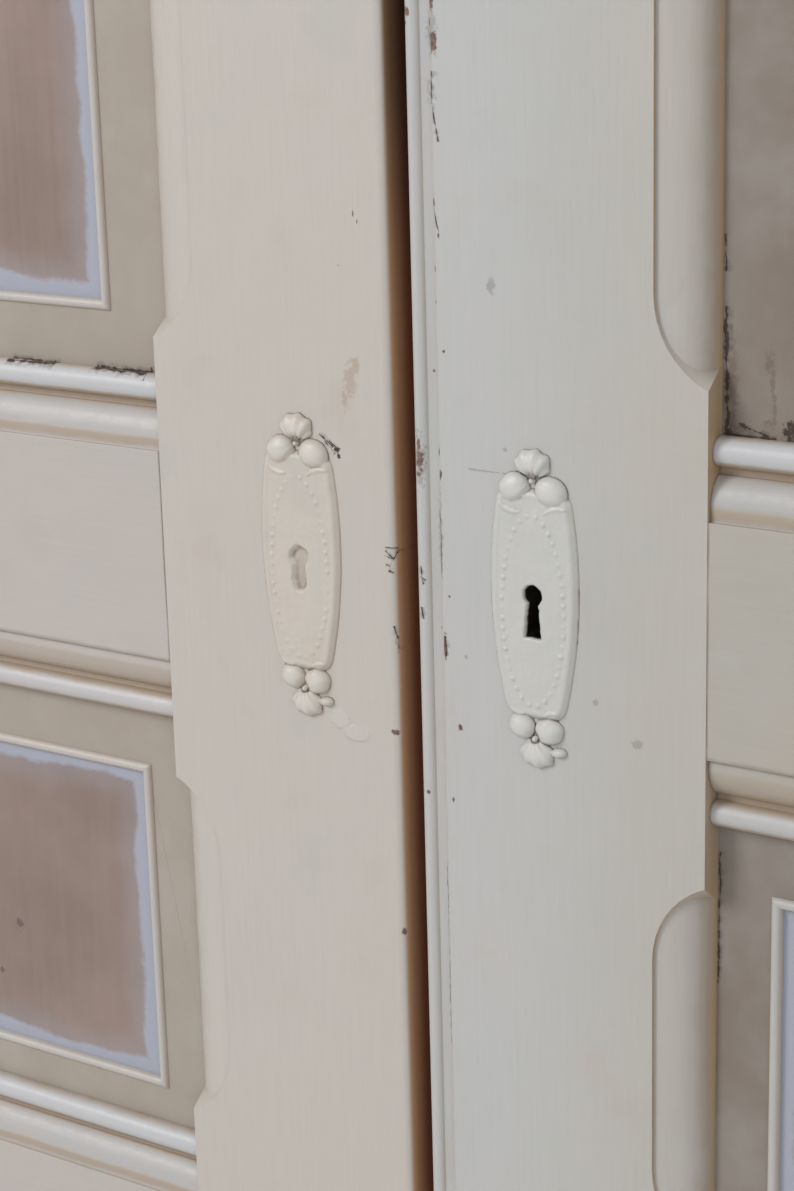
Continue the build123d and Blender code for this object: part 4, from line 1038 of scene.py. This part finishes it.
def build_plate_shell(name, middle, blind, seed):
    """The closed shell of a plate, in metres and at the plate's place."""
    shell = plate_grid(blind, seed)
    close_plate(shell, blind, seed)
    for v in shell.verts:
        v.co = Vector((middle[0] + v.co.x, v.co.y, middle[1] + v.co.z)) * MM
    mesh = bpy.data.meshes.new(name)
    shell.to_mesh(mesh)
    open_edges = sum(1 for edge in shell.edges if not edge.is_manifold)
    shell.free()
    print(name, len(mesh.vertices), "points, open edges:", open_edges)
    return mesh


print("grid step:", PLATE_STEP, "mm")

# %% [markdown]
# The oval of beads repeats one small dome along a path, which is work for Geometry Nodes. The
# tree draws an ellipse, places points evenly along it, measures how far each point of the plate
# is from the nearest of them, and lifts it by the height of a dome at that distance. So the
# beads grow out of the paint instead of lying on it. A random share of each bead is buried.

# %% The tree that raises the beads
def build_bead_tree():
    """A plate's mesh goes in, and comes out with an oval of beads in its surface."""
    tree = bpy.data.node_groups.new("bead_oval", "GeometryNodeTree")
    face = tree.interface
    face.new_socket("Geometry", in_out="INPUT", socket_type="NodeSocketGeometry")
    for label, kind in (("Middle", "Vector"), ("Half Width", "Float"), ("Half Height", "Float"),
                        ("Count", "Int"), ("Bead Radius", "Float"), ("Bead Rise", "Float"),
                        ("Seed", "Int")):
        face.new_socket(label, in_out="INPUT", socket_type="NodeSocket" + kind)
    face.new_socket("Paint", in_out="INPUT", socket_type="NodeSocketMaterial")
    face.new_socket("Geometry", in_out="OUTPUT", socket_type="NodeSocketGeometry")
    given = tree.nodes.new("NodeGroupInput").outputs
    result = tree.nodes.new("NodeGroupOutput").inputs

    circle = add(tree, "GeometryNodeCurvePrimitiveCircle", Resolution=96, Radius=1.0)
    size = add(tree, "ShaderNodeCombineXYZ", X=given["Half Width"], Y=given["Half Height"], Z=1.0)
    oval = add(tree, "GeometryNodeTransform", Geometry=circle.outputs["Curve"],
               Translation=given["Middle"], Rotation=(math.pi / 2, 0, 0), Scale=size.outputs[0])
    points = add(tree, "GeometryNodeCurveToPoints", {"mode": "COUNT"},
                 Curve=oval.outputs[0], Count=given["Count"])

    place = add(tree, "GeometryNodeInputPosition").outputs[0]
    flat = vectors(tree, "MULTIPLY", place, (1, 0, 1))
    near = add(tree, "GeometryNodeProximity", {"target_element": "POINTS"})
    tree.links.new(points.outputs["Points"], near.inputs[0])
    tree.links.new(flat, near.inputs["Sample Position"])
    share = sums(tree, "DIVIDE", near.outputs["Distance"], given["Bead Radius"])
    under = sums(tree, "MAXIMUM", sums(tree, "SUBTRACT", 1.0, times(tree, share, share)), 0.0)
    nearest = add(tree, "GeometryNodeSampleNearest", {"domain": "POINT"})
    tree.links.new(points.outputs["Points"], nearest.inputs["Geometry"])
    tree.links.new(flat, nearest.inputs["Sample Position"])
    buried = add(tree, "FunctionNodeRandomValue", {"data_type": "FLOAT"}, input_2=0.35, input_3=1.0,
                 ID=nearest.outputs["Index"], Seed=given["Seed"])
    dome = times(tree, sums(tree, "POWER", under, 0.7), given["Bead Rise"], buried.outputs[1])
    lift = add(tree, "ShaderNodeCombineXYZ", X=0.0, Y=times(tree, dome, -1.0), Z=0.0)
    raised = add(tree, "GeometryNodeSetPosition", Geometry=given["Geometry"], Offset=lift.outputs[0])
    solid = add(tree, "GeometryNodeRealizeInstances", Geometry=raised.outputs[0])
    dressed = add(tree, "GeometryNodeSetMaterial", Geometry=solid.outputs[0], Material=given["Paint"])
    tree.links.new(dressed.outputs[0], result["Geometry"])
    return tree


bead_oval = build_bead_tree()
print("bead tree:", len(bead_oval.nodes), "nodes")


# %% Turning a modifier's result into a plain mesh
def grown(name, mesh, tree, **values):
    """The mesh as a node tree leaves it. Inputs are set by their identifiers, before evaluation."""
    source = placed(name + "_source", mesh)
    modifier = source.modifiers.new("tree", "NODES")
    modifier.node_group = tree
    for item in tree.interface.items_tree:
        key = item.name.replace(" ", "_")
        if item.item_type == "SOCKET" and item.in_out == "INPUT" and key in values:
            modifier[item.identifier] = values[key]
    bpy.context.view_layer.update()
    evaluated = source.evaluated_get(bpy.context.evaluated_depsgraph_get())
    result = bpy.data.meshes.new_from_object(evaluated)
    bpy.data.objects.remove(source)
    result.name = name
    return result


# %% [markdown]
# Thick paint pools in the corners of a relief and holds the dirt there. The mesh can say where:
# its heights are averaged with their neighbours' a few times, and a point that lies well under
# that smooth surface lies in a crease. The paint reads this value and grows darker with it, as
# that dirt and as painted shade in the crease.

# %% Where the paint pools in a relief
SMOOTHING_ROUNDS = 10


def mark_creases(mesh):
    """Stores, for each point, how far it lies under its smoothed surroundings."""
    depth = [v.co.y for v in mesh.vertices]
    beside = [[] for _ in depth]
    for edge in mesh.edges:
        first, second = edge.vertices
        beside[first].append(second)
        beside[second].append(first)
    smooth = depth[:]
    for _ in range(SMOOTHING_ROUNDS):
        smooth = [sum(smooth[i] for i in near) / len(near) for near in beside]
    crease = mesh.attributes.new("crease", "FLOAT", "POINT")
    crease.data.foreach_set("value", [(deep - soft) / MM for deep, soft in zip(depth, smooth)])


print("each point is compared with its surroundings over", SMOOTHING_ROUNDS, "steps")

# %% Make both plates
BEAD_OVAL_HALF_WIDTH = 14.1 * MM
BEAD_OVAL_HALF_HEIGHT = 39.2 * MM
BEAD_RADIUS = 1.15 * MM
BEAD_COUNT = 42
PLATES = (
    ("left_escutcheon", (-50.7, KEY_HEIGHT + 3.5), True, 3, "left_plate", 0.52),
    ("right_escutcheon", (62.0, KEY_HEIGHT), False, 17, "right_plate", 0.72),
)
for node, middle, blind, seed, paint, bead_rise in PLATES:
    shell = build_plate_shell(node + "_shell", middle, blind, seed)
    beaded = grown(
        "finished_" + node, shell, bead_oval, Middle=(middle[0] * MM, 0.0, middle[1] * MM),
        Half_Width=BEAD_OVAL_HALF_WIDTH, Half_Height=BEAD_OVAL_HALF_HEIGHT, Count=BEAD_COUNT,
        Bead_Radius=BEAD_RADIUS, Bead_Rise=bead_rise * MM, Seed=seed, Paint=paints[paint])
    for face in beaded.polygons:
        face.use_smooth = True
    mark_creases(beaded)
    stand_for(placed("finished_" + node, beaded), node)
    print(node, len(beaded.polygons), "faces")

# %% [markdown]
# The panes were painted over long ago. A pinkish brown lies in the middle, and a bluish white
# runs round the edge in an uneven band, where someone cut in along the beads with a narrow
# brush. Each pane stores how far every point is from its middle and how large half of it is, so
# one material can find the distance to the nearest edge on every pane.

# %% The painted glass
PANE_FIELD = srgb(132, 114, 106)
PANE_FIELD_PALE = srgb(147, 128, 120)
PANE_STREAK = srgb(150, 137, 131)
PANE_BORDER = srgb(162, 166, 180)
PANE_BORDER_WIDE = (10.2 * MM, 6.2 * MM)
PANE_HAZE_WIDE = (22 * MM, 7 * MM)
PANE_STROKE = (260.0, 260.0, 9.0)
PANE_MARKS = (
    (-236.0, 816.7, 2.4, 3.0, 1.0), (-216.1, 750.6, 5.0, 1.6, 1.1), (-250.0, 790.0, 1.2, 1.6, 0.9),
)


def build_pane_paint():
    """A pinkish brown field with faint upright strokes, inside an uneven pale border."""
    material, tree, shader, place = new_material("pane_paint")
    off = vectors(tree, "ABSOLUTE", stored(tree, "from_middle"))
    inwards = parts_of(tree, vectors(tree, "SUBTRACT", stored(tree, "half_size"), off))
    wander = sums(tree, "MULTIPLY_ADD", noise(tree, place, 26.0, 2.0, 0.5), 13 * MM, -6.5 * MM)
    fray = sums(tree, "MULTIPLY_ADD", noise(tree, place, 330.0, 2.0, 0.6), 2 * MM, -1 * MM)
    near = sums(tree, "MINIMUM", times(tree, inwards["X"], 0.85), inwards["Z"])
    near = sums(tree, "ADD", near, sums(tree, "ADD", wander, fray))
    border = ramp(tree, near, *PANE_BORDER_WIDE)
    haze = ramp(tree, near, *PANE_HAZE_WIDE, 0.0, 0.25)
    strokes = noise(tree, vectors(tree, "MULTIPLY", place, PANE_STROKE), 1.0, 3.0, 0.6)
    clouds = noise(tree, place, 14.0, 4.0, 0.6)
    field = blend(tree, ramp(tree, clouds, 0.3, 0.7), PANE_FIELD, PANE_FIELD_PALE)
    field = blend(tree, ramp(tree, strokes, 0.35, 0.75, 0.0, 0.16), field, PANE_STREAK)
    colour = blend(tree, sums(tree, "MAXIMUM", border, haze), field, PANE_BORDER)
    marks = times(tree, gather(tree, place, PANE_MARKS, ()), 0.55)
    height = sums(tree, "MULTIPLY_ADD", border, 0.4, times(tree, strokes, 0.25))
    set_input(tree, shader["Base Color"], blend(tree, marks, colour, BARE_DARK))
    set_input(tree, shader["Roughness"], ramp(tree, strokes, 0.3, 0.7, 0.42, 0.55))
    set_input(tree, shader["Normal"], bump(tree, height, 0.0008))
    return material


pane_paint = build_pane_paint()
print("pane paint:", len(pane_paint.node_tree.nodes), "nodes")

# %% The panes of both leaves
def painted_pane(node):
    """A pane that knows, at each point, its distance from the middle and its half size."""
    mesh = joined_copy(node)
    mesh.materials.append(pane_paint)
    low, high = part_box(node)
    middle, half = (low + high) / 2, (high - low) / 2
    places = [share for v in mesh.vertices for share in v.co - middle]
    mesh.attributes.new("from_middle", "FLOAT_VECTOR", "POINT").data.foreach_set("vector", places)
    halves = [share for _ in mesh.vertices for share in half]
    mesh.attributes.new("half_size", "FLOAT_VECTOR", "POINT").data.foreach_set("vector", halves)
    return stand_for(placed("finished_" + node, mesh), node)


panes = [painted_pane(node) for node in sorted(slot_of) if slot_of[node] == "pane_paint"]
print("panes:", len(panes))

# %% [markdown]
# The metal. Hinges and surface bolts were painted with the doors and have worn bare where they
# rub, the screws are dull steel, the lock's plates are tarnished brass and its case is dark
# steel. One function makes them all: two finishes, and a noise that says where each one shows.

# %% The metal finishes
CREAM = srgb(192, 184, 173)
RUST = srgb(122, 88, 62)
RUST_REACH = 0.09
STEEL = srgb(150, 146, 140)


def metal(name, under, over, shown, over_metallic=0.0, soft=0.05, rust=0.0):
    """A metal under paint or tarnish. Shown is the noise level above which the metal is bare, soft
    is how gently one gives way to the other, and rust stains the paint round a bare spot."""
    material, tree, shader, place = new_material(name)
    blotches = noise(tree, place, 95.0, 5.0, 0.65)
    grain = noise(tree, place, 700.0, 3.0, 0.6)
    bare = ramp(tree, blotches, shown, shown + soft)
    cloudy = blend(tree, ramp(tree, grain, 0.35, 0.7, 0.0, 0.5), over, under)
    layer = blend(tree, 0.22, over, cloudy)
    layer = blend(tree, ramp(tree, blotches, shown - RUST_REACH, shown, 0.0, rust), layer, RUST)
    rough = sums(tree, "MULTIPLY_ADD", grain, 0.15, ramp(tree, bare, 0.0, 1.0, 0.5, 0.38))
    height = sums(tree, "MULTIPLY_ADD", bare, -0.5, times(tree, grain, 0.25))
    set_input(tree, shader["Base Color"], blend(tree, bare, layer, under))
    set_input(tree, shader["Metallic"], ramp(tree, bare, 0.0, 1.0, over_metallic, 1.0))
    set_input(tree, shader["Roughness"], rough)
    set_input(tree, shader["Normal"], bump(tree, height, 0.0003))
    return material


METALS = {
    "hinge_paint": dict(under=STEEL, over=CREAM, shown=0.64, rust=0.7),
    "screw_steel": dict(under=STEEL, over=srgb(120, 108, 96), shown=0.36, over_metallic=0.7, soft=0.2),
    "lock_steel": dict(under=srgb(92, 88, 84), over=srgb(52, 48, 46), shown=0.6, over_metallic=0.4,
                       soft=0.12),
    "lock_brass": dict(under=srgb(172, 146, 98), over=srgb(122, 99, 66), shown=0.36, over_metallic=0.9,
                       soft=0.34),
    "spring_steel": dict(under=srgb(132, 134, 140), over=srgb(74, 78, 92), shown=0.45,
                         over_metallic=0.9, soft=0.25),
    "bolt_iron": dict(under=srgb(128, 122, 116), over=CREAM, shown=0.61, rust=0.8),
}
finishes = {slot: metal(slot, **look) for slot, look in METALS.items()}
print("metal finishes:", len(finishes))

# %% Dress the metal pieces
ROUNDED_METAL = ("hinge_paint", "lock_steel", "lock_brass", "bolt_iron")
for node in sorted(slot_of):
    slot = slot_of[node]
    if slot in ROUNDED_METAL:
        rounded(node, finishes[slot], METAL_ROUNDING)
    elif slot in finishes:
        bare_mesh = frame["nodes"][node].data
        bare_mesh.materials.clear()
        bare_mesh.materials.append(finishes[slot])
print("rounded metal slots:", ROUNDED_METAL)

# %% [markdown]
# The camera stands where the photographer stood: about 0.84 m in front of the doors, to the
# right, a little above the keyholes, and looking down to the left. These values came from the
# straight lines of the doors in the photograph. The lens is a long one, so the camera is turned
# by angles and not aimed at a target, which keeps the photograph's slight tilt.

# %% The camera of the photograph
CAMERA_PLACE = (0.558, -0.839, 1.309)
CAMERA_YAW = math.radians(33.79)
CAMERA_PITCH = math.radians(16.11)
CAMERA_ROLL = math.radians(-1.55)
PHOTO_HEIGHT = 1191
FOCAL_PIXELS = 2569.0

forward = Vector((-math.sin(CAMERA_YAW) * math.cos(CAMERA_PITCH),
                  math.cos(CAMERA_YAW) * math.cos(CAMERA_PITCH),
                  -math.sin(CAMERA_PITCH)))
level_right = Vector((math.cos(CAMERA_YAW), math.sin(CAMERA_YAW), 0))
level_up = level_right.cross(forward)
right = level_right * math.cos(CAMERA_ROLL) + level_up * math.sin(CAMERA_ROLL)
up = level_up * math.cos(CAMERA_ROLL) - level_right * math.sin(CAMERA_ROLL)
camera = bpy.data.objects.new("photo_camera", bpy.data.cameras.new("photo_camera"))
bpy.context.collection.objects.link(camera)
turn = Matrix((right, up, -forward)).transposed().to_4x4()
camera.matrix_world = Matrix.Translation(CAMERA_PLACE) @ turn
camera.data.sensor_width = 36.0
camera.data.lens = FOCAL_PIXELS * camera.data.sensor_width / PHOTO_HEIGHT
camera.data.clip_start = 0.02
bpy.context.scene.camera = camera
print("lens:", round(camera.data.lens, 2), "mm")

# %% [markdown]
# The studio is a plain pale floor, a pale surround and three round lamps. The photograph has
# the flat light of an open room that comes from the upper left, so the strongest lamp stands
# there, a weaker and cooler one opens the shadows from the right, and one behind lights the
# back. The surround looks brighter to the camera than it is as a light: the shadows in the
# mouldings would wash out under a stronger one.

# %% The floor
FLOOR_HALF = 14.0
floor_mesh = bpy.data.meshes.new("floor")
corners = [(x * FLOOR_HALF, y * FLOOR_HALF, 0) for x, y in ((-1, -1), (1, -1), (1, 1), (-1, 1))]
floor_mesh.from_pydata(corners, [], [(0, 1, 2, 3)])
floor = placed("floor", floor_mesh)
floor_paint = bpy.data.materials.new("floor_pale")
floor_paint.use_nodes = True
floor_shader = floor_paint.node_tree.nodes["Principled BSDF"].inputs
floor_shader["Base Color"].default_value = srgb(226, 225, 222)
floor_shader["Roughness"].default_value = 0.9
floor_mesh.materials.append(floor_paint)
print("floor:", 2 * FLOOR_HALF, "m square")

# %% The world: a pale surround that is paler to the camera and in reflections than as a light
WORLD_LIGHT = 0.46
WORLD_SEEN = 0.90
world = bpy.data.worlds.new("studio")
bpy.context.scene.world = world
world.use_nodes = True
tree = world.node_tree
background = tree.nodes["Background"]
rays = add(tree, "ShaderNodeLightPath").outputs
seen = sums(tree, "MAXIMUM", rays["Is Camera Ray"], rays["Is Glossy Ray"])
seen = sums(tree, "MAXIMUM", seen, rays["Is Transmission Ray"])
set_input(tree, background.inputs["Strength"], ramp(tree, seen, 0.0, 1.0, WORLD_LIGHT, WORLD_SEEN))
background.inputs["Color"].default_value = (1.0, 1.0, 1.0, 1.0)
print("world light:", WORLD_LIGHT, "and as the camera sees it:", WORLD_SEEN)

# %% The lamps
LAMPS_AIM = Vector((0, 0, 1.1))


def lamp(name, place, size, power, tint):
    """A round soft lamp, aimed at the middle of the doors. Its size is in metres, its power in watts."""
    data = bpy.data.lights.new(name, "AREA")
    data.shape = "DISK"
    data.size = size
    data.energy = power
    data.color = tint
    made = bpy.data.objects.new(name, data)
    bpy.context.collection.objects.link(made)
    made.location = place
    made.rotation_mode = "QUATERNION"
    made.rotation_quaternion = (LAMPS_AIM - Vector(place)).to_track_quat("-Z", "Y")
    return made


lamps = [
    lamp("window_left", (-2.4, -3.0, 3.2), 1.8, 98.0, (1.0, 0.985, 0.965)),
    lamp("sky_right", (2.6, -2.6, 2.2), 2.2, 26.0, (0.96, 0.98, 1.0)),
    lamp("behind", (1.8, 3.4, 2.8), 2.0, 82.0, (1.0, 1.0, 1.0)),
]
bpy.context.scene.view_settings.view_transform = "Standard"
print("lamps:", [made.name for made in lamps])
